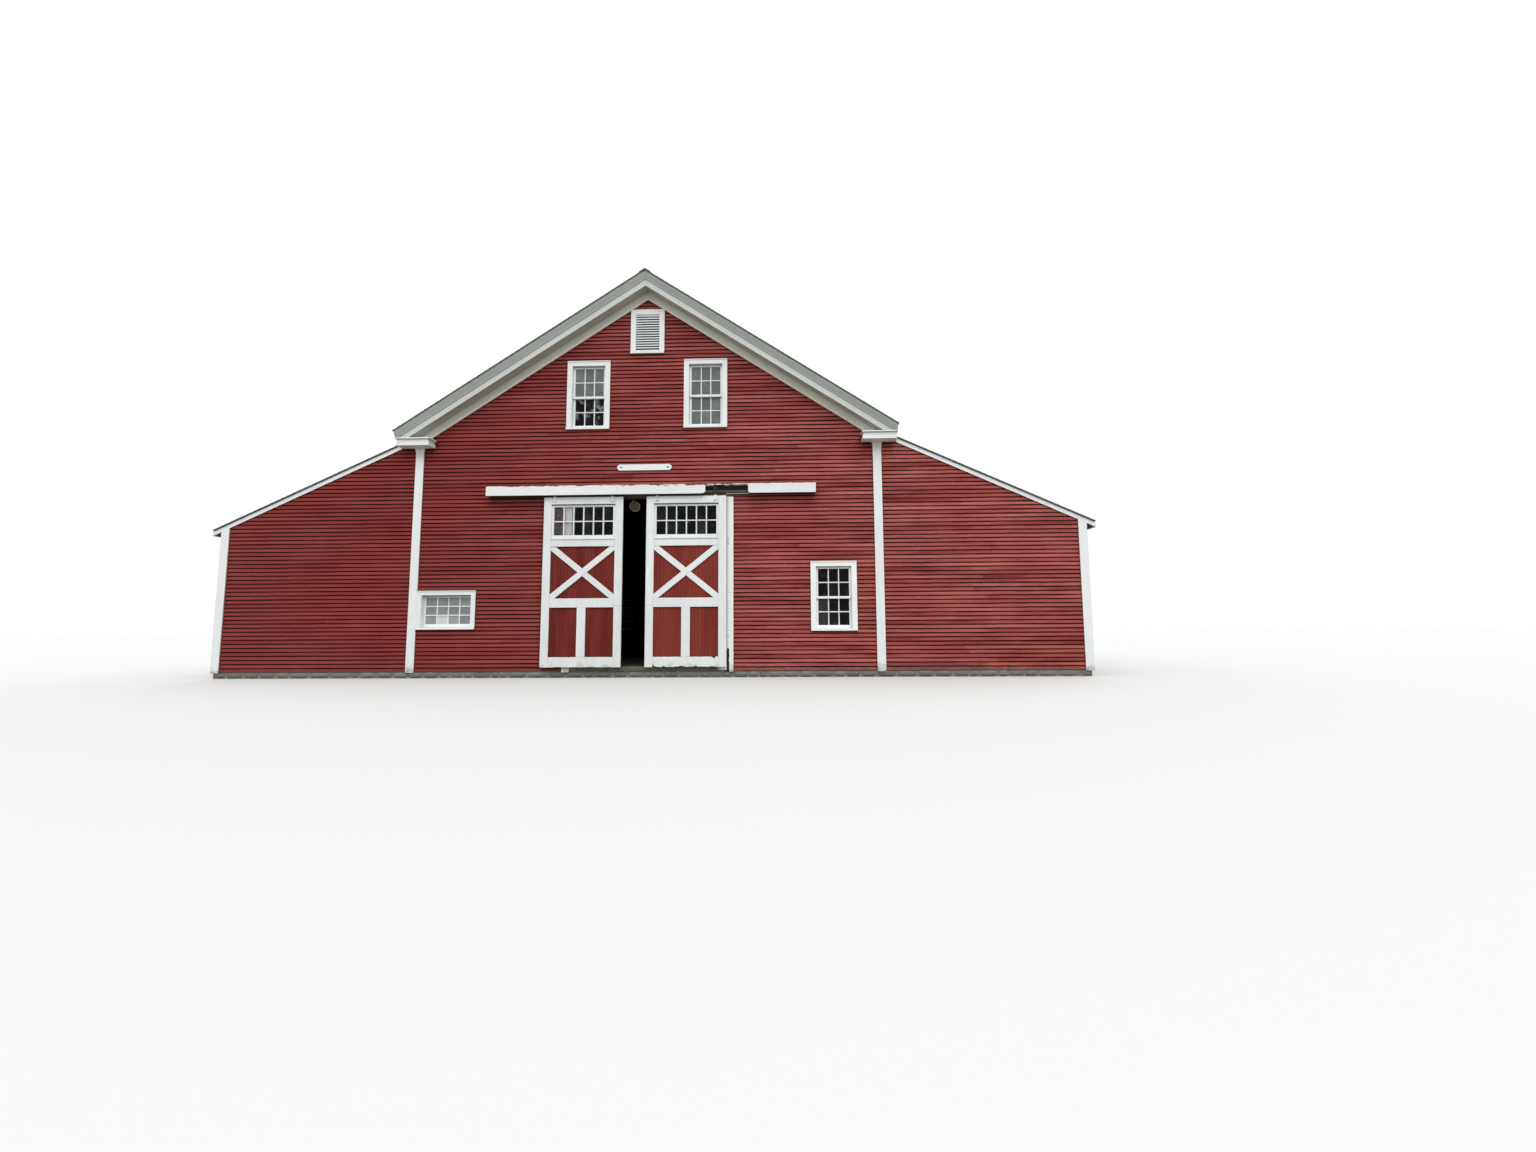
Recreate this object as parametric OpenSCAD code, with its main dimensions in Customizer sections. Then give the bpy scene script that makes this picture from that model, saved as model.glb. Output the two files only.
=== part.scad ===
// Red clapboard barn: a tall gabled main block with a low lean-to wing on each side,
// boxed white cornice, six-over-six windows and a pair of sliding doors hung on a track.
// Millimetres. Origin on the ground at the middle of the plan, front facing -Y.

/* [Plan] */
// Width of the main block over its corner boards
main_w = 10460; // [9800:20:11200]
// Width of each wing beside the main block
wing_w = 4350; // [3800:10:4900]
// Length of the barn from front wall face to back wall face
barn_l = 13400; // [11000:50:16000]
// Thickness of the outer walls
wall_t = 180; // [140:5:220]
// Height of the stone foundation above the ground
base_h = 150; // [100:5:260]
// Width of the foundation
base_w = 400; // [320:10:520]
// Set-back of the foundation from the wall face
base_inset = 10; // [0:1:25]
// Thickness of the floor planks
floor_t = 80; // [50:5:110]
// Width of a floor sleeper
sleeper_w = 200; // [150:10:260]

/* [Roofs] */
// Pitch of the main roof in degrees
main_pitch = 33.15; // [30:0.05:36]
// Pitch of the wing roofs in degrees
wing_pitch = 24.6; // [22:0.1:25.5]
// Height of the main roof's underside over the wall face, above the foundation
main_eave_h = 5336; // [5250:2:5500]
// Distance of a wing roof's top below the main roof's underside, at the main wall
wing_drop = 72; // [60:1:140]
// Thickness of the main roof, rafters and shingles together
main_roof_t = 150; // [120:5:160]
// Thickness of the wing roof, rafters and shingles together
wing_roof_t = 110; // [95:1:120]
// Thickness of the shingle courses
shingle_t = 25; // [15:1:35]
// Overhang of the main roof past the main wall line
main_eave_out = 310; // [250:5:360]
// Overhang of the wing roof past the side wall
wing_eave_out = 200; // [100:5:300]
// Overhang of the wing shingles past the front wall face
wing_rake_out = 50; // [42:1:90]
// Width of each ridge board
ridge_board_w = 130; // [90:5:180]
// Thickness of the ridge boards
ridge_board_t = 20; // [12:1:30]

/* [Rake cornice] */
// Distance of the rake fascia's face in front of the wall
fascia_out = 280; // [220:5:320]
// Thickness of the fascia and soffit boards
cornice_t = 25; // [18:1:32]
// Depth of the rake cornice below the roof surface, to the fascia's lower edge
fascia_drop = 275; // [240:1:300]
// Set-up of the soffit above the fascia's lower edge
soffit_lift = 15; // [8:1:25]
// Height of the crown moulding on its face
crown_h = 129; // [100:1:140]
// Projection of the crown moulding in front of the fascia
crown_out = 90; // [60:5:110]
// Depth of the crown moulding's hollow and round
crown_curl = 3; // [0:0.5:6]
// Shingle overhang past the crown moulding
drip_out = 10; // [5:1:20]
// Height of the frieze board under the soffit
frieze_h = 173; // [140:1:220]
// Thickness of all flat trim boards on the walls
trim_t = 30; // [20:1:34]
// Height of the bead along the frieze's lower edge
frieze_bead = 22; // [14:1:30]

/* [Cornice returns] */
// Distance of a return's inner end from the middle of the front
return_in = 4800; // [4700:5:4950]
// Distance of the return's underside below the main roof's underside over the wall face
return_drop = 346; // [326:2:386]
// Height of the return's face
return_h = 150; // [120:2:160]
// Thickness of the cap on the return
return_cap_t = 25; // [15:1:35]
// Projection of the cap past the return's face
return_cap_out = 20; // [10:1:30]
// Depth of the step between the return's two bands
return_step = 12; // [6:1:20]

/* [Corner boards] */
// Width of the main corner boards
corner_w = 184; // [150:1:220]
// Width of the wing corner boards
wing_corner_w = 150; // [120:1:180]
// Height of the capital of a main corner board
capital_h = 190; // [150:2:230]
// Flare of the capital on each side
capital_out = 29; // [15:1:40]
// Height of the wing rake boards on their face
wing_rake_h = 91; // [84:1:110]
// Length by which corner boards and casings run down over the foundation
trim_drop = 30; // [0:2:60]

/* [Doorway] */
// Clear width of the doorway
doorway_w = 3240; // [3120:10:3400]
// Height of the doorway's head above the foundation
doorway_h = 3800; // [3600:5:3850]
// Width of the doorway's left casing
left_casing_w = 160; // [120:5:220]
// Width of the doorway's right casing
right_casing_w = 340; // [280:5:380]

/* [Sliding doors] */
// Width of one door
door_w = 1760; // [1680:5:1780]
// Height of one door
door_h = 3730; // [3500:5:3740]
// Height of the doors' lower edge above the foundation
door_lift = 80; // [40:5:100]
// Gap between the wall face and the back of the doors
door_gap = 45; // [42:1:60]
// Thickness of the upright boards of a door
door_board_t = 30; // [22:1:35]
// Thickness of the white frame boards of a door
door_frame_t = 38; // [28:1:42]
// Thickness of the crossed braces
brace_t = 30; // [20:1:36]
// Width of a door's stiles
stile_w = 172; // [150:1:190]
// Height of a door's top rail
top_rail_h = 160; // [140:2:200]
// Height of a door's bottom rail
bottom_rail_h = 222; // [180:2:260]
// Height of the rail under the window
sash_rail_h = 180; // [150:2:220]
// Height of the middle rail
mid_rail_h = 200; // [160:2:230]
// Height of the middle rail's lower edge above the door's lower edge
mid_rail_z = 1290; // [1100:5:1400]
// Height of the braced panel between the middle rail and the upper one
brace_panel_h = 1140; // [1000:5:1200]
// Width of the mullion between the lower panels
mullion_w = 190; // [150:2:220]
// Width of a crossed brace
brace_w = 130; // [100:2:150]
// Width of the door sash's members
door_sash_w = 48; // [30:1:60]
// Left door's inner edge, measured left from the middle
left_door_x = 470; // [200:5:600]
// Right door's inner edge, measured right from the middle
right_door_x = 50; // [30:5:100]

/* [Door track] */
// Left end of the track, from the middle
track_left = 3510; // [3500:5:3700]
// Right end of the track, from the middle
track_right = 3770; // [3600:5:3900]
// Height of the track cover's lower edge above the foundation
cover_z = 3840; // [3830:2:3880]
// Height of the track cover
cover_h = 220; // [205:2:240]
// Distance of the cover's face in front of the wall
cover_out = 195; // [185:5:230]
// Thickness of the cover's boards
cover_t = 20; // [14:1:26]
// Left edge of the missing length of cover, from the middle
cover_gap_left = 1357; // [1200:1:1500]
// Right edge of the missing length of cover, from the middle
cover_gap_right = 2297; // [2100:1:2450]
// Height of the steel rail
rail_h = 40; // [30:1:44]
// Thickness of the steel rail
rail_t = 8; // [5:1:10]
// Height of the rail's lower edge above the cover's lower edge
rail_lift = 50; // [44:1:56]
// Radius of a hanger wheel on its tread
wheel_r = 40; // [32:1:44]
// Thickness of a hanger wheel
wheel_t = 24; // [20:1:28]
// Depth of a wheel's flanges
flange_h = 7; // [4:1:9]
// Width of a hanger strap
strap_w = 50; // [40:1:70]
// Thickness of a hanger strap
strap_t = 8; // [5:1:10]
// Distance of the hangers from the middle of a door
hanger_x = 640; // [500:5:700]
// Length of a strap on the face of the door
strap_l = 130; // [100:5:150]

/* [Windows] */
// Width of a window casing
casing_w = 114; // [90:1:130]
// Width of the small windows' casings
small_casing_w = 100; // [80:1:120]
// Width of a sash member
sash_w = 50; // [35:1:60]
// Thickness of a sash
sash_t = 35; // [25:1:45]
// Set-back of a sash behind the wall face
sash_back = 40; // [20:1:60]
// Thickness of a jamb lining
jamb_t = 20; // [12:1:28]
// Thickness of the glass
glass_t = 6; // [4:1:8]
// Projection of a window sill
sill_out = 55; // [40:1:70]
// Height of a window sill
sill_h = 45; // [35:1:55]
// Height of a sash's bottom rail
bottom_sash_h = 75; // [60:1:90]
// Width of an upper window over its casing
upper_win_w = 980; // [880:5:1050]
// Height of an upper window over its casing
upper_win_h = 1600; // [1400:5:1700]
// Distance of the upper windows from the middle
upper_win_x = 1330; // [1150:5:1500]
// Height of an upper window's lower edge above the main roof's underside at the wall
upper_win_lift = 44; // [0:2:164]
// Width of a lower window over its casing
lower_win_w = 1000; // [900:5:1100]
// Height of a lower window over its casing
lower_win_h = 1510; // [1400:5:1700]
// Distance of the lower window from the middle
lower_win_x = 4140; // [4120:5:4250]
// Height of a lower window's lower edge above the foundation
lower_win_z = 840; // [700:5:1000]
// Width of a small window over its casing
small_win_w = 1310; // [1200:5:1320]
// Height of a small window over its casing
small_win_h = 855; // [760:5:950]
// Height of a small window's lower edge above the foundation
small_win_z = 910; // [800:5:1100]
// Number of small windows along each side wall
side_win_count = 4; // [2:1:5]

/* [Gable vent] */
// Width of the vent over its frame
vent_w = 770; // [680:5:860]
// Height of the vent over its frame
vent_h = 1050; // [900:5:1150]
// Distance of the vent's top below the roof's underside at the ridge
vent_drop = 572; // [552:2:622]
// Width of the vent's frame boards
vent_frame_w = 116; // [90:1:130]
// Number of louvre slats
slat_count = 14; // [10:1:16]
// Thickness of a slat
slat_t = 11; // [8:1:16]
// Tilt of the slats in degrees
slat_tilt = 48; // [42:1:60]
// Share of the height between two slats that one slat covers
slat_cover = 0.8; // [0.7:0.02:0.9]

/* [Sign board] */
// Length of the sign board
sign_w = 1220; // [900:10:1500]
// Height of the sign board
sign_h = 200; // [150:5:260]
// Height of the sign board's middle above the foundation
sign_z = 4490; // [4300:5:4700]
// Radius of the notched corners
sign_notch = 45; // [25:1:60]

/* [Frame inside] */
// Side of a post that carries the main eave
post_w = 200; // [160:5:240]
// Depth of the plate on the posts
plate_h = 250; // [200:5:300]
// Number of bays between the posts
bay_count = 4; // [3:1:6]

/* [Lamp] */
// Distance of the lamp left of the middle
lamp_x = 396; // [250:1:500]
// Height of the lamp's middle above the foundation
lamp_z = 3739; // [3600:1:3800]
// Distance of the lamp behind the wall face
lamp_back = 600; // [450:5:800]
// Radius of the lamp's face
lamp_r = 125; // [90:5:150]
// Height of the lamp's rim
lamp_rim = 14; // [10:1:20]
// Radius of the lamp's arm
arm_r = 12; // [8:1:16]
// Lean of the lamp's face from level, in degrees
lamp_lean = -65; // [-80:1:-30]

/* [Hidden] */

$fn = 48;
eps = 1;
far = 40000;
seat_gap = 0.3;
head_h = 20;
head_out = 10;

red = "#7a3b36";
white = "#dbdfe0";
grey_wood = "#6b6861";
dark_wood = "#4a3a30";
shingle_grey = "#4f4d4a";
stone = "#7d7a72";
steel = "#4b4a48";
glass_blue = "#8d979b";

half_main = main_w / 2;
half_all = half_main + wing_w;
front_y = -barn_l / 2;
inner_y = barn_l / 2 - wall_t;
half_door = doorway_w / 2;
floor_z = base_h + floor_t;
head_z = base_h + doorway_h;

main_run = tan(main_pitch);
wing_run = tan(wing_pitch);
main_roof_v = main_roof_t / cos(main_pitch);
wing_roof_v = wing_roof_t / cos(wing_pitch);
main_eave_x = half_main + main_eave_out;
wing_eave_x = half_all + wing_eave_out;
ridge_z = base_h + main_eave_h + main_roof_v + half_main * main_run;
wing_peak_z = base_h + main_eave_h - wing_drop + half_main * wing_run;
return_z = main_eave_h - return_drop;
return_top = base_h + return_z + return_h + return_cap_t;
upper_win_z = main_eave_h + upper_win_lift;
vent_z = main_eave_h + half_main * main_run - vent_drop - vent_h;
vent_clear = [vent_w - 2 * vent_frame_w, vent_h - 2 * vent_frame_w];
small_win_x = half_main - corner_w - small_win_w / 2;
deck_y = barn_l / 2 + fascia_out - cornice_t;
drip_y = barn_l / 2 + fascia_out + crown_out + drip_out;
frieze_v = (fascia_drop - soffit_lift + frieze_h) / cos(main_pitch);
wing_rake_v = (shingle_t + wing_rake_h) / cos(wing_pitch);

// What stands under a slope ends a seat gap below it
function main_top(x) = ridge_z - x * main_run;
function main_under(x) = main_top(x) - main_roof_v - seat_gap;
function frieze_low(x) = main_top(x) - frieze_v - seat_gap;
function wing_top(x) = wing_peak_z - x * wing_run;
function wing_under(x) = wing_top(x) - wing_roof_v - seat_gap;
function wing_trim_top(x) = wing_top(x) - max(wing_roof_v, wing_rake_v) - seat_gap;

// A board or block given by its lowest and highest corners
module block(low, high) {
    translate(low) cube(high - low);
}

// The same shape on both sides of the middle
module both_sides() {
    children();
    mirror([1, 0, 0]) children();
}

// The same shape at the front and at the back
module both_ends() {
    children();
    mirror([0, 1, 0]) children();
}

// An outline in X and Z, extruded between two depths
module upright(y_low, y_high) {
    translate([0, y_high, 0]) rotate([90, 0, 0])
        linear_extrude(y_high - y_low) children();
}

// A section in Y and roof normal, run down the right-hand slope of a roof
module down_slope(peak, pitch, x_low, x_high, z_low = 0) {
    reach = x_high / cos(pitch) + main_roof_t * 4;
    intersection() {
        translate([0, 0, peak]) rotate([0, pitch, 0]) rotate([90, 0, 90])
            translate([0, 0, -main_roof_t * 4])
                linear_extrude(reach + main_roof_t * 4) children();
        block([x_low, -far, z_low], [x_high, far, far]);
    }
}

// Foundation walls, with sleepers between them that carry the floor
base_out = [half_all - base_inset, barn_l / 2 - base_inset];
base_in = base_out - [base_w, base_w];

module foundation() color(stone) difference() {
    block([-base_out.x, -base_out.y, 0], [base_out.x, base_out.y, base_h]);
    block([-base_in.x, -base_in.y, -eps], [base_in.x, base_in.y, base_h + eps]);
}

// Two of the sleepers lie under the rows of posts
module floor_sleepers() color(dark_wood) {
    pitch = (half_main - post_w / 2) / 2;
    for (i = [-3 : 3])
        block([i * pitch - sleeper_w / 2, -base_in.y, 0],
            [i * pitch + sleeper_w / 2, base_in.y, base_h]);
}

module barn_floor() color(grey_wood)
    block([-half_all + wall_t, -inner_y, base_h], [half_all - wall_t, inner_y, floor_z]);

module threshold() color(grey_wood)
    block([-half_door, front_y - trim_t, base_h], [half_door, front_y + wall_t, floor_z]);

// Clear opening of a window between its casings, over its sill
function clear_size(w, h, casing) = [w - 2 * casing, h - casing - sill_h];

// Window openings, seen from the front, cut through a wall round the jamb lining
module window_hole(x, z, w, h, casing) {
    size = clear_size(w, h, casing) + 2 * [jamb_t, jamb_t];
    translate([x - size.x / 2, base_h + z + sill_h - jamb_t]) square(size);
}

module vent_hole() {
    size = vent_clear + 2 * [jamb_t, jamb_t];
    translate([-size.x / 2, base_h + vent_z + vent_frame_w - jamb_t]) square(size);
}

module small_hole(x) {
    window_hole(x, small_win_z, small_win_w, small_win_h, small_casing_w);
}

// The main gable's outline down to the doorway's head
module gable_outline() {
    polygon([[-half_main, head_z], [half_main, head_z], [half_main, main_under(half_main)],
        [0, main_under(0)], [-half_main, main_under(half_main)]]);
}

module gable_holes() {
    for (side = [-1, 1])
        window_hole(side * upper_win_x, upper_win_z, upper_win_w, upper_win_h, casing_w);
    vent_hole();
}

module front_wall_left() color(red) upright(front_y, front_y + wall_t)
    difference() {
        translate([-half_main, base_h]) square([half_main - half_door, doorway_h]);
        small_hole(-small_win_x);
    }

module front_wall_right() color(red) upright(front_y, front_y + wall_t)
    difference() {
        translate([half_door, base_h]) square([half_main - half_door, doorway_h]);
        window_hole(lower_win_x, lower_win_z, lower_win_w, lower_win_h, casing_w);
    }

module front_gable_wall() color(red) upright(front_y, front_y + wall_t)
    difference() {
        gable_outline();
        gable_holes();
    }

module back_wall() color(red) upright(inner_y, barn_l / 2)
    difference() {
        translate([-half_main, base_h]) square([main_w, doorway_h]);
        for (side = [-1, 1])
            window_hole(side * lower_win_x, lower_win_z, lower_win_w, lower_win_h, casing_w);
    }

module back_gable_wall() color(red) upright(inner_y, barn_l / 2)
    difference() {
        gable_outline();
        gable_holes();
    }

module wing_outline() {
    polygon([[half_main, base_h], [half_all, base_h], [half_all, wing_under(half_all)],
        [half_main, wing_under(half_main)]]);
}

module wing_front_walls() color(red)
    both_sides() upright(front_y, front_y + wall_t) wing_outline();

module wing_back_walls() color(red)
    both_sides() upright(inner_y, barn_l / 2) wing_outline();

// Side walls between the front and back walls, with a row of small windows
side_pitch = (barn_l - 2 * wall_t) / side_win_count;
function side_win_y(i) = (i - (side_win_count - 1) / 2) * side_pitch;

module side_wall() {
    in_x = half_all - wall_t;
    difference() {
        upright(-inner_y, inner_y)
            polygon([[in_x, base_h], [half_all, base_h], [half_all, wing_under(half_all)],
                [in_x, wing_under(in_x)]]);
        for (i = [0 : side_win_count - 1])
            translate([in_x - eps, side_win_y(i), 0]) rotate([90, 0, 90])
                linear_extrude(wall_t + 2 * eps) small_hole(0);
    }
}

module right_side_wall() color(red) side_wall();

module left_side_wall() color(red) mirror([1, 0, 0]) side_wall();

// Posts and plates that carry the main eaves between the hall and the wings
module post_frame() {
    in_x = half_main - post_w;
    plate_z = main_under(half_main) - plate_h;
    upright(-inner_y, inner_y)
        polygon([[in_x, plate_z], [half_main, plate_z], [half_main, main_under(half_main)],
            [in_x, main_under(in_x)]]);
    pitch = (2 * inner_y - post_w) / bay_count;
    for (i = [0 : bay_count]) {
        y = -inner_y + i * pitch;
        block([in_x, y, floor_z], [half_main, y + post_w, plate_z + eps]);
    }
}

module post_frames() color(dark_wood) both_sides() post_frame();

// Roofs: a deck on its rafters, with the shingle courses running out past the trim
module main_roof() down_slope(ridge_z, main_pitch, 0, main_eave_x) {
    translate([-deck_y, -main_roof_t]) square([2 * deck_y, main_roof_t]);
    translate([-drip_y, -shingle_t]) square([2 * drip_y, shingle_t]);
}

module main_roof_right() color(shingle_grey) main_roof();

module main_roof_left() color(shingle_grey) mirror([1, 0, 0]) main_roof();

module wing_roof() {
    rake_y = barn_l / 2 + wing_rake_out;
    down_slope(wing_peak_z, wing_pitch, half_main, wing_eave_x)
        translate([-barn_l / 2, -wing_roof_t]) square([barn_l, wing_roof_t]);
    down_slope(wing_peak_z, wing_pitch, main_eave_x + return_cap_out, wing_eave_x)
        translate([-rake_y, -shingle_t]) square([2 * rake_y, shingle_t]);
}

module right_wing_roof() color(shingle_grey) wing_roof();

module left_wing_roof() color(shingle_grey) mirror([1, 0, 0]) wing_roof();

module ridge_boards() color(shingle_grey)
    both_sides() down_slope(ridge_z, main_pitch, 0, ridge_board_w)
        translate([-drip_y, 0]) square([2 * drip_y, ridge_board_t]);

// Boards along the lower edges of the roofs
module eave_fascias() color(white) both_sides() {
    low_z = wing_top(main_eave_x) + seat_gap;
    high_z = main_top(main_eave_x);
    difference() {
        block([main_eave_x, -deck_y, low_z], [main_eave_x + cornice_t, deck_y, high_z]);
        both_ends()
            block([0, barn_l / 2, 0], [far, far, return_top]);
    }
    edge_z = wing_under(wing_eave_x) - cornice_t;
    block([wing_eave_x, -barn_l / 2, edge_z],
        [wing_eave_x + cornice_t, barn_l / 2, wing_top(wing_eave_x)]);
}

// The boxed cornice up each gable slope: fascia board with the soffit behind it
module rake_run() {
    both_ends() both_sides()
        down_slope(ridge_z, main_pitch, 0, main_eave_x, return_top)
            translate([barn_l / 2, 0]) children();
}

module rake_fascia() color(white) rake_run() {
    translate([fascia_out - cornice_t, -fascia_drop])
        square([cornice_t, fascia_drop - shingle_t]);
    translate([0, -fascia_drop + soffit_lift])
        square([fascia_out, cornice_t]);
}

// Crown moulding: a leaning face with a shallow hollow below and a shallow round above,
// between a small step at its foot and a flat lip under the shingles
module crown_section() {
    lip = crown_h / 8;
    foot = crown_h / 10;
    step = lip / 4;
    lower = -shingle_t - crown_h;
    run = crown_out - step - foot;
    polygon(concat([[0, lower]],
        [for (t = [0 : 1 / 12 : 1.001])
            [foot + run * t - crown_curl * sin(360 * t), lower + (crown_h - lip) * t]],
        [[crown_out, -shingle_t - lip], [crown_out, -shingle_t], [0, -shingle_t]]));
}

module rake_crown() color(white) rake_run()
    translate([fascia_out, 0]) crown_section();

// Frieze board on the wall under the soffit, with a bead along its lower edge
module rake_frieze() color(white) rake_run() {
    top = -fascia_drop + soffit_lift;
    translate([0, top - frieze_h]) square([trim_t, frieze_h]);
    translate([trim_t, top - frieze_h + frieze_bead / 2]) circle(d = frieze_bead);
}

// Cornice returns at the foot of each gable slope, cut to fit under the roof deck
module cornice_return() difference() {
    face_y = barn_l / 2 + fascia_out;
    low = base_h + return_z;
    high = low + return_h;
    union() {
        block([return_in, barn_l / 2, low], [main_eave_x, face_y, low + return_h / 2]);
        block([return_in + return_step, barn_l / 2, low + return_h / 2],
            [main_eave_x - return_step, face_y - return_step, high]);
        block([return_in - return_cap_out, barn_l / 2, high],
            [main_eave_x + return_cap_out, face_y + return_cap_out, return_top]);
    }
    deck_x = main_eave_x + seat_gap;
    upright(barn_l / 2 - eps, deck_y + seat_gap)
        polygon([[0, main_under(0)], [deck_x, main_under(deck_x)], [deck_x, far], [0, far]]);
}

module cornice_returns() color(white) both_ends() both_sides() cornice_return();

// Corner boards of the main block, each under a flared capital
module capital_side(reach) {
    polygon(concat([[0, 0]],
        [for (a = [0 : 15 : 90]) [reach + capital_out * (1 - cos(a)), capital_h * sin(a)]],
        [[0, capital_h]]));
}

module corner_board() {
    low = base_h - trim_drop;
    top = base_h + return_z;
    mid = half_main - corner_w / 2;
    block([half_main - corner_w, barn_l / 2, low], [half_main, barn_l / 2 + trim_t, top]);
    translate([mid, 0, top - capital_h]) intersection() {
        upright(barn_l / 2, barn_l / 2 + trim_t + capital_out) {
            capital_side(corner_w / 2);
            mirror([1, 0]) capital_side(corner_w / 2);
        }
        translate([-far / 2, barn_l / 2, 0]) rotate([90, 0, 90])
            linear_extrude(far) capital_side(trim_t);
    }
}

module corner_boards() color(white) both_ends() both_sides() corner_board();

module wing_corner_boards() color(white) both_ends() both_sides() {
    low = base_h - trim_drop;
    out = half_all + trim_t;
    in_x = half_all - wing_corner_w;
    upright(barn_l / 2, barn_l / 2 + trim_t)
        polygon([[in_x, low], [out, low], [out, wing_trim_top(out)],
            [in_x, wing_trim_top(in_x)]]);
    block([half_all, barn_l / 2 - wing_corner_w, low],
        [out, barn_l / 2 + eps, wing_trim_top(out)]);
}

// Boards up the wing slopes, over the ends of the roof deck
module wing_rake_boards() color(white) both_ends() both_sides()
    down_slope(wing_peak_z, wing_pitch, main_eave_x + return_cap_out, wing_eave_x + cornice_t)
        translate([barn_l / 2, -shingle_t - wing_rake_h]) square([trim_t, wing_rake_h]);

// A window seen from outside: casing over a sill, head drip, jamb lining and sashes.
// Local frame: wall face at y = 0, outside towards -Y, lower edge at z = 0.
module window_unit(w, h, casing, sashes) {
    clear = clear_size(w, h, casing);
    upright(-trim_t, 0) difference() {
        translate([-w / 2, 0]) square([w, h]);
        translate([-clear.x / 2, sill_h]) square(clear);
    }
    upright(0, wall_t) difference() {
        translate([-clear.x / 2 - jamb_t, sill_h - jamb_t]) square(clear + 2 * [jamb_t, jamb_t]);
        translate([-clear.x / 2, sill_h]) square(clear);
    }
    block([-w / 2, -sill_out, 0], [w / 2, 0, sill_h]);
    block([-w / 2, -trim_t - head_out, h - head_h], [w / 2, 0, h]);
    for (i = [0 : sashes - 1]) sash_place(clear, sashes, i) {
        size = sash_size(clear, sashes, i);
        upright(0, sash_t) difference() {
            square(size);
            translate([sash_w, sash_foot(i)]) square(size - [2 * sash_w, sash_w + sash_foot(i)]);
        }
    }
}

// The lower sash has a deeper bottom rail, and two sashes lap at their meeting rails
function sash_foot(i) = i == 0 ? bottom_sash_h : sash_w;
function sash_size(clear, sashes, i) =
    [clear.x, sashes == 1 ? clear.y : (clear.y + sash_w) / 2];

// The upper sash is the outer one
module sash_place(clear, sashes, i) {
    y = sash_back + (sashes == 1 ? sash_t : (1 - i) * sash_t);
    translate([-clear.x / 2, y, sill_h + i * (clear.y - sash_w) / 2]) children();
}

module window_panes(w, h, casing, sashes) {
    clear = clear_size(w, h, casing);
    for (i = [0 : sashes - 1]) sash_place(clear, sashes, i) {
        pane = sash_size(clear, sashes, i) - [2 * sash_w, sash_w + sash_foot(i)];
        low = [sash_w, (sash_t - glass_t) / 2, sash_foot(i)];
        block(low, low + [pane.x, glass_t, pane.y]);
    }
}

module at_front(x, z) {
    translate([x, front_y, base_h + z]) children();
}

module small_unit() {
    window_unit(small_win_w, small_win_h, small_casing_w, 1);
}

module small_panes() {
    window_panes(small_win_w, small_win_h, small_casing_w, 1);
}

module small_window() color(white) at_front(-small_win_x, small_win_z) small_unit();

module lower_window() color(white) at_front(lower_win_x, lower_win_z)
    window_unit(lower_win_w, lower_win_h, casing_w, 2);

module upper_windows() color(white)
    both_sides() at_front(upper_win_x, upper_win_z)
        window_unit(upper_win_w, upper_win_h, casing_w, 2);

module back_windows() color(white) mirror([0, 1, 0]) both_sides() {
    at_front(upper_win_x, upper_win_z) window_unit(upper_win_w, upper_win_h, casing_w, 2);
    at_front(lower_win_x, lower_win_z) window_unit(lower_win_w, lower_win_h, casing_w, 2);
}

module side_places() {
    both_sides() for (i = [0 : side_win_count - 1])
        translate([half_all, side_win_y(i), base_h + small_win_z]) rotate([0, 0, 90]) children();
}

module side_windows() color(white) side_places() small_unit();

module window_glass() color(glass_blue) {
    at_front(-small_win_x, small_win_z) small_panes();
    at_front(lower_win_x, lower_win_z)
        window_panes(lower_win_w, lower_win_h, casing_w, 2);
    both_sides() both_ends() at_front(upper_win_x, upper_win_z)
        window_panes(upper_win_w, upper_win_h, casing_w, 2);
    mirror([0, 1, 0]) both_sides() at_front(lower_win_x, lower_win_z)
        window_panes(lower_win_w, lower_win_h, casing_w, 2);
    side_places() small_panes();
}

// Louvred vents high in both gables
module gable_vent() {
    low = vent_frame_w;
    upright(-trim_t, 0) difference() {
        translate([-vent_w / 2, 0]) square([vent_w, vent_h]);
        translate([-vent_clear.x / 2, low]) square(vent_clear);
    }
    upright(0, wall_t) difference() {
        translate([-vent_clear.x / 2 - jamb_t, low - jamb_t])
            square(vent_clear + 2 * [jamb_t, jamb_t]);
        translate([-vent_clear.x / 2, low]) square(vent_clear);
    }
    block([-vent_w / 2, -sill_out, low - sill_h], [vent_w / 2, 0, low]);
    pitch = vent_clear.y / slat_count;
    slat_l = slat_cover * pitch / sin(slat_tilt);
    end = vent_clear.x / 2 + eps;
    for (i = [0 : slat_count - 1])
        translate([0, slat_l / 2, low + (i + 0.5) * pitch]) rotate([slat_tilt, 0, 0])
            block([-end, -slat_l / 2, -slat_t / 2], [end, slat_l / 2, slat_t / 2]);
}

// The upper corners of a vent's frame are cut to fit under the frieze
module gable_vents() color(white) both_ends() difference() {
    at_front(0, vent_z) gable_vent();
    foot = frieze_low(half_main);
    upright(front_y - trim_t - eps, front_y)
        polygon([[-half_main, foot], [0, frieze_low(0)], [half_main, foot],
            [half_main, far], [-half_main, far]]);
}

// Bare plaque over the doors, with hollow notches at its corners
module sign_board() color(white) at_front(0, sign_z) upright(-trim_t, 0)
    difference() {
        square([sign_w, sign_h], center = true);
        for (x = [-1, 1], z = [-1, 1])
            translate([x * sign_w / 2, z * sign_h / 2]) circle(sign_notch);
    }

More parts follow.
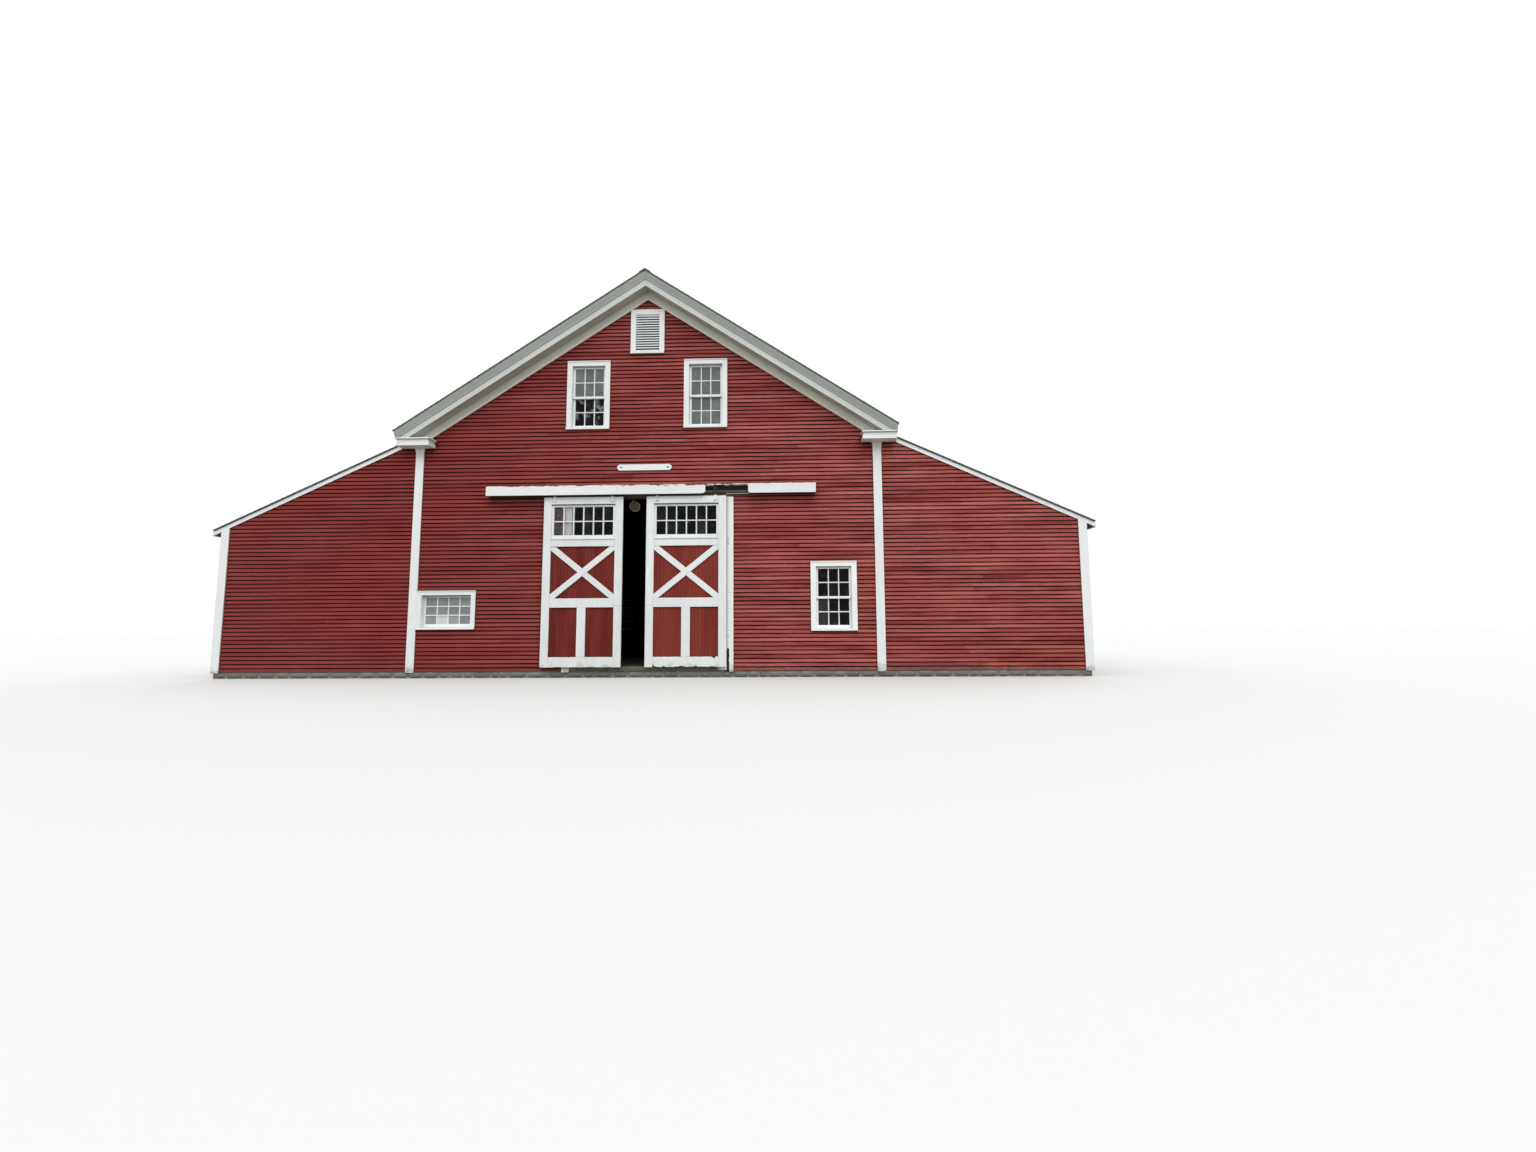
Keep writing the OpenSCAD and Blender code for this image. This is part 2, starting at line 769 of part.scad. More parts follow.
// Doorway casing: side boards, and the board across the head that carries the track
module door_casing() color(white) {
    low = base_h - trim_drop;
    block([half_door, front_y - trim_t, low], [half_door + right_casing_w, front_y, head_z]);
    block([-half_door - left_casing_w, front_y - trim_t, low], [-half_door, front_y, head_z]);
    block([-track_left, front_y - trim_t, head_z],
        [track_right, front_y, base_h + cover_z + cover_h - cover_t]);
}

// Steel rail on stand-off blocks
rail_z = base_h + cover_z + rail_lift;
door_front = front_y - door_gap - door_board_t - door_frame_t;
rail_y = front_y - door_gap - (door_board_t + door_frame_t) / 2;
rail_stop = 60;
standoff_w = 40;

module track_rail() color(steel) {
    block([-track_left + rail_stop, rail_y - rail_t / 2, rail_z],
        [track_right - rail_stop, rail_y + rail_t / 2, rail_z + rail_h]);
    count = 9;
    pitch = (track_left + track_right - 4 * rail_stop) / (count - 1);
    for (i = [0 : count - 1]) {
        x = -track_left + 2 * rail_stop + i * pitch;
        block([x - standoff_w / 2, rail_y + rail_t / 2 - eps, rail_z],
            [x + standoff_w / 2, front_y - trim_t, rail_z + rail_h / 2]);
    }
}

// Cover over the track: top board, ends, and a face board with a length missing
module track_cover() color(white) {
    low = base_h + cover_z;
    high = low + cover_h;
    face = front_y - cover_out;
    block([-track_left, face, high - cover_t], [track_right, front_y, high]);
    block([-track_left, face, low], [cover_gap_left, face + cover_t, high]);
    block([cover_gap_right, face, low], [track_right, face + cover_t, high]);
    block([-track_left, face, low], [-track_left + cover_t, front_y - trim_t, high]);
    block([track_right - cover_t, face, low], [track_right, front_y - trim_t, high]);
}

// Flood lamp on an arm from the inside of the wall over the doorway: a domed back,
// a rim and a closed face that leans down towards the doorway
module lamp() color(steel) {
    arm_z = head_z + 4 * arm_r;
    arm_l = lamp_back - wall_t;
    drop = arm_z - base_h - lamp_z;
    translate([-lamp_x, front_y + wall_t, arm_z]) {
        rotate([-90, 0, 0]) cylinder(r = 3 * arm_r, h = arm_r);
        rotate([-90, 0, 0]) cylinder(r = arm_r, h = arm_l + arm_r);
        translate([0, arm_l, -drop]) {
            cylinder(r = arm_r, h = drop);
            rotate([lamp_lean, 0, 0]) rotate_extrude() lamp_section();
        }
    }
}

module lamp_section() {
    intersection() {
        translate([0, -lamp_r * 0.7]) circle(lamp_r * 1.22);
        square([lamp_r, lamp_r]);
    }
    translate([0, -lamp_rim / 2]) square([lamp_r, lamp_rim]);
    translate([0, -lamp_rim]) square([lamp_r - lamp_rim, lamp_rim]);
}

// Sliding doors. Local frame of one door: left edge at x = 0, lower edge at z = 0,
// back of the boards at y = 0, outside towards -Y.
sash_low = mid_rail_z + mid_rail_h + brace_panel_h + sash_rail_h;
sash_high = door_h - top_rail_h;

module door_window() {
    translate([stile_w, sash_low]) square([door_w - 2 * stile_w, sash_high - sash_low]);
}

module door_boards() {
    upright(-door_board_t, 0) difference() {
        square([door_w, door_h]);
        door_window();
    }
}

// White boards over the upright ones, with crossed braces in the middle panel
module door_frame() {
    brace_low = mid_rail_z + mid_rail_h;
    panel = [door_w - 2 * stile_w, brace_panel_h];
    angle = atan2(panel.y, panel.x);
    upright(-door_board_t - door_frame_t, -door_board_t) difference() {
        square([door_w, door_h]);
        door_window();
        translate([stile_w, brace_low]) square(panel);
        translate([stile_w, bottom_rail_h]) square([panel.x, mid_rail_z - bottom_rail_h]);
    }
    upright(-door_board_t - door_frame_t, -door_board_t)
        translate([(door_w - mullion_w) / 2, bottom_rail_h])
            square([mullion_w, mid_rail_z - bottom_rail_h]);
    upright(-door_board_t - brace_t, -door_board_t) intersection() {
        translate([stile_w, brace_low]) square(panel);
        translate([door_w / 2, brace_low + panel.y / 2])
            for (turn = [-angle, angle]) rotate(turn)
                square([2 * door_w, brace_w], center = true);
    }
}

module door_sash() {
    upright(-door_board_t - door_frame_t / 2, 0) difference() {
        door_window();
        offset_sash();
    }
}

module offset_sash() {
    translate([stile_w + door_sash_w, sash_low + door_sash_w])
        square([door_w - 2 * stile_w - 2 * door_sash_w, sash_high - sash_low - 2 * door_sash_w]);
}

module door_glass() {
    y = -door_board_t / 2;
    upright(y - glass_t / 2, y + glass_t / 2) offset_sash();
}

// A strap bolted to the door's face, carrying a flanged wheel that runs on the rail
groove_gap = 2;
flange_slope = 1;

module door_hanger() {
    wheel_z = rail_z + rail_h + seat_gap + wheel_r - base_h - door_lift;
    face = -door_board_t - door_frame_t;
    groove = rail_t / 2 + groove_gap;
    middle = face / 2;
    block([-strap_w / 2, face - strap_t, door_h - strap_l], [strap_w / 2, face, wheel_z]);
    translate([0, 0, wheel_z]) rotate([90, 0, 0]) {
        translate([0, 0, -face]) cylinder(d = strap_w, h = strap_t);
        translate([0, 0, -middle]) cylinder(r = wheel_r / 4, h = middle - face + eps);
        translate([0, 0, -middle]) rotate_extrude()
            polygon([[0, -wheel_t / 2], [wheel_r + flange_h, -wheel_t / 2],
                [wheel_r + flange_h, -groove - flange_slope], [wheel_r, -groove],
                [wheel_r, groove], [wheel_r + flange_h, groove + flange_slope],
                [wheel_r + flange_h, wheel_t / 2], [0, wheel_t / 2]]);
    }
}

module door_hangers() {
    for (side = [-1, 1]) translate([door_w / 2 + side * hanger_x, 0, 0]) door_hanger();
}

module left_door_place() {
    translate([-left_door_x - door_w, front_y - door_gap, base_h + door_lift]) children();
}

module right_door_place() {
    translate([right_door_x, front_y - door_gap, base_h + door_lift]) children();
}

module left_door_boards() color(red) left_door_place() door_boards();
module left_door_frame() color(white) left_door_place() door_frame();
module left_door_sash() color(white) left_door_place() door_sash();
module left_door_glass() color(glass_blue) left_door_place() door_glass();
module left_door_hangers() color(steel) left_door_place() door_hangers();
module right_door_boards() color(red) right_door_place() door_boards();
module right_door_frame() color(white) right_door_place() door_frame();
module right_door_sash() color(white) right_door_place() door_sash();
module right_door_glass() color(glass_blue) right_door_place() door_glass();
module right_door_hangers() color(steel) right_door_place() door_hangers();

foundation();
floor_sleepers();
barn_floor();
front_wall_left();
front_wall_right();
front_gable_wall();
back_wall();
back_gable_wall();
wing_front_walls();
wing_back_walls();
left_side_wall();
right_side_wall();
post_frames();
main_roof_left();
main_roof_right();
left_wing_roof();
right_wing_roof();
ridge_boards();
eave_fascias();
rake_fascia();
rake_crown();
rake_frieze();
cornice_returns();
corner_boards();
wing_corner_boards();
wing_rake_boards();
small_window();
lower_window();
upper_windows();
back_windows();
side_windows();
window_glass();
gable_vents();
sign_board();
door_casing();
threshold();
track_rail();
track_cover();
lamp();
left_door_boards();
left_door_frame();
left_door_sash();
left_door_glass();
left_door_hangers();
right_door_boards();
right_door_frame();
right_door_sash();
right_door_glass();
right_door_hangers();
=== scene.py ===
import bpy
import numpy as np
from mathutils import Matrix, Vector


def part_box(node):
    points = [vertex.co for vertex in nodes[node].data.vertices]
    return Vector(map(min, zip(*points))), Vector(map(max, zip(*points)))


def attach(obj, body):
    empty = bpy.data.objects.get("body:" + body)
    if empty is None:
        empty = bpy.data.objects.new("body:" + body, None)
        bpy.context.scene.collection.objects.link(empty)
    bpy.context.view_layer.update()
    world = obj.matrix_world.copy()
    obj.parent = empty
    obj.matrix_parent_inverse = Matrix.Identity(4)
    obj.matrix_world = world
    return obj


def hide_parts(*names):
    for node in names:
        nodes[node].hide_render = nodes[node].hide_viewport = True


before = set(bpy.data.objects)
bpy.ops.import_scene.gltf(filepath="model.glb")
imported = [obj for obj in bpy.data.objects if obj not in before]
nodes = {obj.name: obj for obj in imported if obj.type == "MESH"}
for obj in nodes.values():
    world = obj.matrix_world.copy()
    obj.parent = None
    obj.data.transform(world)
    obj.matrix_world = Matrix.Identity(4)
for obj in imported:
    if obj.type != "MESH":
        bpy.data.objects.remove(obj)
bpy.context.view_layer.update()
scene = bpy.context.scene
scene.view_settings.view_transform = "Standard"


# Camera
# The barn is seen from low down and a little right of the doors, through a very wide lens
# that is tipped up by about 5 degrees.
camera_place = (3.07, -19.23, 1.03)
camera_turn, camera_tip, camera_lean = np.radians((-1.63, 5.26, 0.32))
camera_lens = 13.52
camera_sensor = 36.0


def turned(axis, angle):
    """Rotation about one axis: cosines on the other two rows, sines of both signs across."""
    first, second = [i for i in range(3) if i != axis]
    rows = np.eye(3)
    rows[first, first] = rows[second, second] = np.cos(angle)
    rows[first, second] = np.sin(angle)
    rows[second, first] = -np.sin(angle)
    return rows


camera_axes = turned(1, -camera_lean) @ turned(0, camera_tip) @ turned(2, -camera_turn)
camera_right, camera_ahead, camera_up = camera_axes
camera_rows = np.eye(4)
camera_rows[:3, 0] = camera_right
camera_rows[:3, 1] = camera_up
camera_rows[:3, 2] = -camera_ahead
camera_rows[:3, 3] = camera_place
camera = bpy.data.objects.new("camera", bpy.data.cameras.new("camera"))
camera.data.lens = camera_lens
camera.data.sensor_width = camera_sensor
scene.collection.objects.link(camera)
camera.matrix_world = Matrix(camera_rows.tolist())
scene.camera = camera


# Sky, soft light and floor
# An overcast day: even light from all round, stronger from overhead, with one broad light
# over the front. The camera and the glass see the surroundings as plain white.
sky_level = 0.86
sky_overhead = 1.50
front_light = 1.30
front_light_from = (0.25, -1.0, 1.35)
front_light_spread = 45.0
floor_seen = (0.62, 0.62, 0.605, 1)
floor_bounce = (0.19, 0.19, 0.17, 1)
floor_reach = 150.0


def plug(tree, node, inputs):
    """Fills a node's inputs, each with a value or with a socket to link."""
    for key, value in dict(inputs).items():
        if isinstance(value, bpy.types.NodeSocket):
            tree.links.new(value, node.inputs[key])
        else:
            node.inputs[key].default_value = value
    return node


def place(tree, kind, inputs=(), **settings):
    """Adds one shader node with its settings and its inputs."""
    node = tree.nodes.new(kind)
    for key, value in settings.items():
        setattr(node, key, value)
    return plug(tree, node, inputs)


def sums(tree, operation, *values):
    """The result of one Math node."""
    return place(tree, "ShaderNodeMath", enumerate(values), operation=operation).outputs[0]


def ramped(tree, value, low, high, first=0.0, last=1.0):
    """A value carried from one range to another and held at its ends."""
    limits = {"Value": value, "From Min": low, "From Max": high, "To Min": first, "To Max": last}
    return place(tree, "ShaderNodeMapRange", limits).outputs[0]


def tinted(tree, share, under, over, mode="MIX"):
    """One colour laid over another by a share from 0 to 1."""
    colours = {0: share, 6: under, 7: over}
    return place(tree, "ShaderNodeMix", colours, data_type="RGBA", blend_type=mode).outputs[2]


def z_of(tree, vector):
    """The height of a spot, or how far a direction points up."""
    return place(tree, "ShaderNodeSeparateXYZ", {0: vector}).outputs["Z"]


def seen_plainly(tree):
    """1 where the ray comes from the camera, from a reflection or through glass."""
    path = place(tree, "ShaderNodeLightPath")
    either = sums(tree, "MAXIMUM", path.outputs["Is Camera Ray"], path.outputs["Is Glossy Ray"])
    return sums(tree, "MAXIMUM", either, path.outputs["Is Transmission Ray"])


world = bpy.data.worlds.new("overcast")
world.use_nodes = True
scene.world = world
sky = world.node_tree
sky.nodes.clear()
sky_way = place(sky, "ShaderNodeTexCoord").outputs["Generated"]
sky_strength = ramped(sky, z_of(sky, sky_way), 0.0, 1.0, sky_level, sky_overhead)
sky_light = place(sky, "ShaderNodeBackground", {"Color": (0.97, 0.99, 1, 1), 1: sky_strength})
sky_white = place(sky, "ShaderNodeBackground", {"Color": (1, 1, 1, 1), "Strength": 1.0})
sky_both = {0: seen_plainly(sky), 1: sky_light.outputs[0], 2: sky_white.outputs[0]}
sky_either = place(sky, "ShaderNodeMixShader", sky_both)
place(sky, "ShaderNodeOutputWorld", {"Surface": sky_either.outputs[0]})

glow = bpy.data.objects.new("front_light", bpy.data.lights.new("front_light", "SUN"))
glow.data.energy = front_light
glow.data.angle = np.radians(front_light_spread)
scene.collection.objects.link(glow)
glow_back = np.array(front_light_from) / np.linalg.norm(front_light_from)
glow_side = np.cross((0, 0, 1), glow_back)
glow_side = glow_side / np.linalg.norm(glow_side)
glow_rows = np.eye(4)
glow_rows[:3, :3] = np.column_stack((glow_side, np.cross(glow_back, glow_side), glow_back))
glow.matrix_world = Matrix(glow_rows.tolist())


def new_material(name):
    """A material with its tree, its shader and the piece's own coordinates."""
    material = bpy.data.materials.new(name)
    material.use_nodes = True
    tree = material.node_tree
    at_home = place(tree, "ShaderNodeTexCoord").outputs["Object"]
    return material, tree, tree.nodes["Principled BSDF"], at_home


floor_mesh = bpy.data.meshes.new("floor")
floor_corners = np.array(((-1, -1, 0), (1, -1, 0), (1, 1, 0), (-1, 1, 0))) * floor_reach
floor_mesh.from_pydata(floor_corners.tolist(), [], [(0, 1, 2, 3)])
floor = bpy.data.objects.new("floor", floor_mesh)
scene.collection.objects.link(floor)
floor_paint, floor_tree, floor_shader, _ = new_material("plain_floor")
floor_tone = tinted(floor_tree, seen_plainly(floor_tree), floor_bounce, floor_seen)
floor_gloss = {"Base Color": floor_tone, "Roughness": 0.9, "Specular IOR Level": 0.1}
plug(floor_tree, floor_shader, floor_gloss)
floor_mesh.materials.append(floor_paint)


# White trim
# Corner boards, casings, cornice and window frames are old pine boards under many coats of
# white oil paint, greyed in the corners by dirt and painted shade, worn at the edges and
# flaking in places.
white = (0.86, 0.885, 0.88, 1)
white_greyed = (0.74, 0.765, 0.76, 1)
bare_pine = (0.27, 0.235, 0.20, 1)
white_coats = (white, white_greyed, bare_pine)
# dark colour laid where a spot is shut in: dirt and painted shade
corner_dirt_and_shade = (0.13, 0.12, 0.10, 1)
foot_moss = (0.20, 0.21, 0.14, 1)


def cloudy(tree, spot, scale, detail, **more):
    """The value of a noise texture at a spot."""
    noise = {"Vector": spot, "Scale": scale, "Detail": detail, **more}
    return place(tree, "ShaderNodeTexNoise", noise).outputs[0]


def stretched(tree, spot, scale):
    """A spot scaled by its own amount along each axis."""
    return place(tree, "ShaderNodeMapping", {"Vector": spot, "Scale": scale}).outputs[0]


def stored_tone(tree):
    """The tone kept in the mesh for each board, stone or pane."""
    return place(tree, "ShaderNodeAttribute", attribute_name="tone").outputs["Fac"]


def darkened(tree, colour, shade):
    """A colour multiplied by one value."""
    shades = place(tree, "ShaderNodeCombineColor", {0: shade, 1: shade, 2: shade}).outputs[0]
    return tinted(tree, 1.0, colour, shades, "MULTIPLY")


def emboss(tree, shader, height, strength, depth):
    """Leans the shader's normal by the slope of a height."""
    relief = {"Height": height, "Strength": strength, "Distance": depth}
    plug(tree, shader, {"Normal": place(tree, "ShaderNodeBump", relief).outputs[0]})


def start_group(name, takes, gives):
    """An empty shader group with named inputs, each with its default, and named outputs."""
    group = bpy.data.node_groups.new(name, "ShaderNodeTree")
    kinds = {float: "NodeSocketFloat", tuple: "NodeSocketColor"}
    for key, value in takes.items():
        kind = kinds.get(type(value), "NodeSocketVector")
        socket = group.interface.new_socket(key, in_out="INPUT", socket_type=kind)
        if value is not None:
            socket.default_value = value
    for key, kind in gives.items():
        group.interface.new_socket(key, in_out="OUTPUT", socket_type=kind)
    return group, group.nodes.new("NodeGroupInput").outputs, group.nodes.new("NodeGroupOutput")


def make_aged_paint():
    """Paint faded in broad patches, streaked along the grain and flaked off in small ones."""
    takes = {"Place": None, "Paint": white, "Faded": white_greyed, "Bare": bare_pine,
             "Peel": 0.2, "Tone": 0.0, "Grain": 0.08}
    gives = {"Color": "NodeSocketColor", "Roughness": "NodeSocketFloat",
             "Height": "NodeSocketFloat"}
    tree, given, result = start_group("aged_paint", takes, gives)
    patches = ramped(tree, cloudy(tree, given["Place"], 0.55, 4.0, Roughness=0.6), 0.35, 0.68)
    fading = sums(tree, "MULTIPLY_ADD", patches, 0.55, sums(tree, "MULTIPLY", given["Tone"], 0.6))
    colour = tinted(tree, fading, given["Paint"], given["Faded"])
    grain = cloudy(tree, given["Place"], 6.0, 5.0, Roughness=0.65)
    swing = ramped(tree, grain, 0.3, 0.7, -1.3, 0.7)
    colour = darkened(tree, colour, sums(tree, "MULTIPLY_ADD", swing, given["Grain"], 1.0))
    flakes = cloudy(tree, given["Place"], 3.1, 9.0, Roughness=0.7)
    edge = sums(tree, "MULTIPLY_ADD", given["Peel"], -0.3, 0.76)
    gone = ramped(tree, flakes, edge, sums(tree, "ADD", edge, 0.025))
    colour = tinted(tree, gone, colour, given["Bare"])
    height = sums(tree, "SUBTRACT", sums(tree, "MULTIPLY", grain, 0.5), gone)
    rough = sums(tree, "ADD", sums(tree, "MULTIPLY", grain, 0.4), gone)
    rough = ramped(tree, rough, 0, 1.2, 0.5, 0.9)
    plug(tree, result, enumerate((colour, rough, height)))
    return tree


def make_dirt_and_shade():
    """Dirt and painted shade laid in by how far a spot is shut in by what stands round it."""
    takes = {"Color": white, "Shade and dirt": corner_dirt_and_shade, "Reach": 0.08, "Amount": 0.6}
    tree, given, result = start_group("corner_dirt_and_shade", takes, {"Color": "NodeSocketColor"})
    shut = place(tree, "ShaderNodeAmbientOcclusion", {"Distance": given["Reach"]}, samples=6)
    share = ramped(tree, shut.outputs["AO"], 0.95, 0.25)
    share = sums(tree, "MULTIPLY", share, given["Amount"])
    plug(tree, result, {0: tinted(tree, share, given["Color"], given["Shade and dirt"])})
    return tree


def make_edge_wear():
    """Wear where a rounded normal leaves the flat one, broken up by noise."""
    takes = {"Place": None, "Radius": 0.006}
    tree, given, result = start_group("edge_wear", takes, {"Mask": "NodeSocketFloat"})
    round_way = place(tree, "ShaderNodeBevel", {"Radius": given["Radius"]}, samples=3).outputs[0]
    flat_way = place(tree, "ShaderNodeNewGeometry").outputs["Normal"]
    ways = {0: round_way, 1: flat_way}
    match = place(tree, "ShaderNodeVectorMath", ways, operation="DOT_PRODUCT").outputs["Value"]
    breaks = ramped(tree, cloudy(tree, given["Place"], 9.0, 5.0), 0.5, 0.62)
    plug(tree, result, {0: sums(tree, "MULTIPLY", ramped(tree, match, 0.99, 0.85), breaks)})
    return tree


aged_paint = make_aged_paint()
dirt_and_shade_group = make_dirt_and_shade()
wear_group = make_edge_wear()


def with_group(tree, group, values):
    """Places a shader group with its inputs set by name."""
    return place(tree, "ShaderNodeGroup", values, node_tree=group)


def painted_board(name, stretch, coats, peel, grain=0.05, dirt=(corner_dirt_and_shade, 0.08, 0.65),
                  edges=True, foot=None, stain=None, bump=0.35, shine=0.2):
    """Painted wood: aged paint along the grain, worn edges, an overlay of the piece's own, which
    on some pieces is painted shade, dirt and painted shade in its corners, and dirt at its foot.
    coats holds the paint, the faded and the bare colour."""
    material, tree, shader, home = new_material(name)
    paint, faded, bare = coats
    darkening_colour, reach, amount = dirt
    ageing = {"Place": stretched(tree, home, stretch), "Tone": stored_tone(tree), "Peel": peel,
              "Grain": grain, "Paint": paint, "Faded": faded, "Bare": bare}
    coat = with_group(tree, aged_paint, ageing)
    colour = coat.outputs["Color"]
    if edges:
        worn = with_group(tree, wear_group, {"Place": home}).outputs["Mask"]
        colour = tinted(tree, worn, colour, bare)
    if foot:
        level = sums(tree, "MULTIPLY_ADD", cloudy(tree, home, 7.0, 6.0), -0.6, z_of(tree, home))
        colour = tinted(tree, ramped(tree, level, -0.02, -0.22, 0.0, 0.75), colour, foot)
    if stain:
        colour = stain(tree, home, colour)
    shut_in = {"Color": colour, "Shade and dirt": darkening_colour, "Reach": reach, "Amount": amount}
    colour = with_group(tree, dirt_and_shade_group, shut_in).outputs[0]
    plug(tree, shader, {"Base Color": colour, "Roughness": coat.outputs["Roughness"],
                        "Specular IOR Level": shine})
    emboss(tree, shader, coat.outputs["Height"], bump, 0.002)
    return material


def white_board(name, stretch, peel, coats=white_coats, **more):
    """White painted trim with the grain along its longest side."""
    return painted_board(name, stretch, coats, peel, foot=foot_moss, **more)


white_upright = white_board("white_paint_upright", (5.0, 5.0, 0.6), 0.15)
white_level = white_board("white_paint_level", (0.6, 5.0, 5.0), 0.15)
white_eaves = white_board("white_paint_eaves", (5.0, 0.6, 5.0), 0.15)


def finish_nodes(material, *names):
    """Gives a material to frame nodes whose shape stays."""
    for name in names:
        nodes[name].material_slots[0].material = material


finish_nodes(white_upright, "corner_boards", "wing_corner_boards")
finish_nodes(white_level, "cornice_returns")
finish_nodes(white_eaves, "eave_fascias", "wing_rake_boards")


# Rake cornice
# The boxed cornice up the gable slopes is greyer than the rest: a crown moulding gone
# grey-green, a fascia, a soffit stained brown from behind, and a frieze with a white bead.
crown_coats = ((0.53, 0.57, 0.535, 1), (0.47, 0.51, 0.475, 1), bare_pine)
fascia_coats = ((0.64, 0.665, 0.64, 1), (0.57, 0.595, 0.57, 1), bare_pine)
frieze_coats = ((0.76, 0.76, 0.69, 1), (0.68, 0.68, 0.61, 1), bare_pine)
soffit_stain = (0.46, 0.445, 0.385, 1)
bead_white = (0.93, 0.88, 0.83, 1)
main_pitch = np.radians(33.15)
rake_rise = np.tan(main_pitch)
bead_line = 8.5984


def stain_under(stain, amount):
    """A colour that lies only where a board faces down."""
    def laid_on(tree, home, colour):
        way = place(tree, "ShaderNodeNewGeometry").outputs["Normal"]
        return tinted(tree, ramped(tree, z_of(tree, way), -0.5, -0.8, 0.0, amount), colour, stain)

    return laid_on


def whiter_bead(tree, home, colour):
    """A lighter colour on the bead along the frieze's lower edge, told by its height less the
    slope's fall from the middle."""
    spot = place(tree, "ShaderNodeSeparateXYZ", {0: home})
    fall = sums(tree, "MULTIPLY", sums(tree, "ABSOLUTE", spot.outputs["X"]), rake_rise)
    level = sums(tree, "ADD", spot.outputs["Z"], fall)
    return tinted(tree, ramped(tree, level, bead_line + 0.004, bead_line), colour, bead_white)


rake_grain = (1.2, 1.2, 1.2)
crown_paint = painted_board("grey_crown_paint", rake_grain, crown_coats, 0.0, 0.02)
fascia_paint = painted_board("fascia_paint", rake_grain, fascia_coats, 0.02, 0.03,
                             stain=stain_under(soffit_stain, 0.85),
                             dirt=(corner_dirt_and_shade, 0.08, 0.3))
frieze_paint = painted_board("frieze_paint", rake_grain, frieze_coats, 0.02, 0.03,
                             stain=whiter_bead, dirt=(corner_dirt_and_shade, 0.05, 0.3))
finish_nodes(crown_paint, "rake_crown")
finish_nodes(fascia_paint, "rake_fascia")
finish_nodes(frieze_paint, "rake_frieze")


# Walls seen from inside
# Behind the clapboards the walls are sheathed with wide rough boards, never painted and
# brown with age. They show only inside and through gaps.
old_brown = ((0.085, 0.058, 0.042, 1), (0.14, 0.10, 0.075, 1), (0.03, 0.022, 0.018, 1))
wall_nodes = ("front_wall_left", "front_wall_right", "front_gable_wall", "back_wall",
              "back_gable_wall", "wing_front_walls", "wing_back_walls", "left_side_wall",
              "right_side_wall")


def rough_wood(name, stretch, seam_axis, seam_pitch, woods):
    """Sawn boards: grain streaks, a tone for each board, and a dark seam at each multiple of
    the board's width. woods holds the colour, the worn one and the seam's."""
    material, tree, shader, home = new_material(name)
    wood, worn, dark = woods
    grain = cloudy(tree, stretched(tree, home, stretch), 4.0, 8.0, Roughness=0.65, Distortion=0.4)
    colour = tinted(tree, ramped(tree, grain, 0.35, 0.68), wood, worn)
    across = place(tree, "ShaderNodeSeparateXYZ", {0: home}).outputs[seam_axis]
    boards = sums(tree, "DIVIDE", across, seam_pitch)
    off_middle = sums(tree, "SUBTRACT", sums(tree, "FRACT", boards), 0.5)
    seam = ramped(tree, sums(tree, "ABSOLUTE", off_middle), 0.475, 0.495)
    which = {"W": sums(tree, "FLOOR", boards)}
    board = place(tree, "ShaderNodeTexWhiteNoise", which, noise_dimensions="1D").outputs[0]
    colour = darkened(tree, colour, ramped(tree, board, 0, 1, 0.7, 1.15))
    colour = tinted(tree, seam, colour, dark)
    plug(tree, shader, {"Base Color": colour, "Roughness": 0.85, "Specular IOR Level": 0.2})
    height = sums(tree, "SUBTRACT", sums(tree, "MULTIPLY", grain, 0.5), seam)
    emboss(tree, shader, height, 0.6, 0.004)
    return material


inside_boards = rough_wood("inside_boards", (0.8, 0.8, 8.0), 2, 0.235, old_brown)
finish_nodes(inside_boards, *wall_nodes)


# Clapboards
# Tapered pine boards nailed up in courses that each lap the one below, 89 mm to the
# weather, in random lengths, painted barn red. The butts wander and the boards cup a little.
exposure = 0.089
board_lap = 0.012
butt_thick = 0.016
tip_thick = 0.003
butt_round = 0.0025
board_gap = 0.0015
casing_tuck = 0.004
sill_tuck = 0.020
board_stations = 12
board_lengths = (1.7, 3.3)
joint_shift = 0.45
butt_waves = ((3.1, 0.0022), (1.3, 0.0012), (0.55, 0.0006))
bow_length, bow_size = 1.9, 0.0012
foot_wander, butt_wander, cup_wander = 0.0008, 0.001, 0.0006
cup_size = 0.0006
back_sunk = 0.002
shortest_board = 0.02
fading_spread = (1.6, 2.4)
siding_foot = 0.146
wall_out = -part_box("front_gable_wall")[0].y
wall_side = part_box("right_side_wall")[1].x
barn_red = (0.200, 0.029, 0.025, 1)
barn_red_faded = (0.53, 0.146, 0.125, 1)
weathered_grey = (0.36, 0.22, 0.19, 1)
# dark red laid in shut-in places and in the line under each butt: dirt and painted shade
red_dirt_and_shade = (0.032, 0.002, 0.0015, 1)
foot_mud = (0.10, 0.085, 0.05, 1)
red_coats = (barn_red, barn_red_faded, weathered_grey)


def face_map(origin, out):
    """Place of a point from its distance along a wall, its distance out and its height:
    the origin plus each distance times its direction, the first being up crossed with out."""
    out = np.array(out, float)
    along = np.cross((0, 0, 1), out)

    def at(u, w, z):
        u, w, z = np.broadcast_arrays(u, w, z)
        spot = u[..., None] * along + w[..., None] * out + z[..., None] * np.array((0, 0, 1.0))
        return spot + np.array(origin, float)

    return at


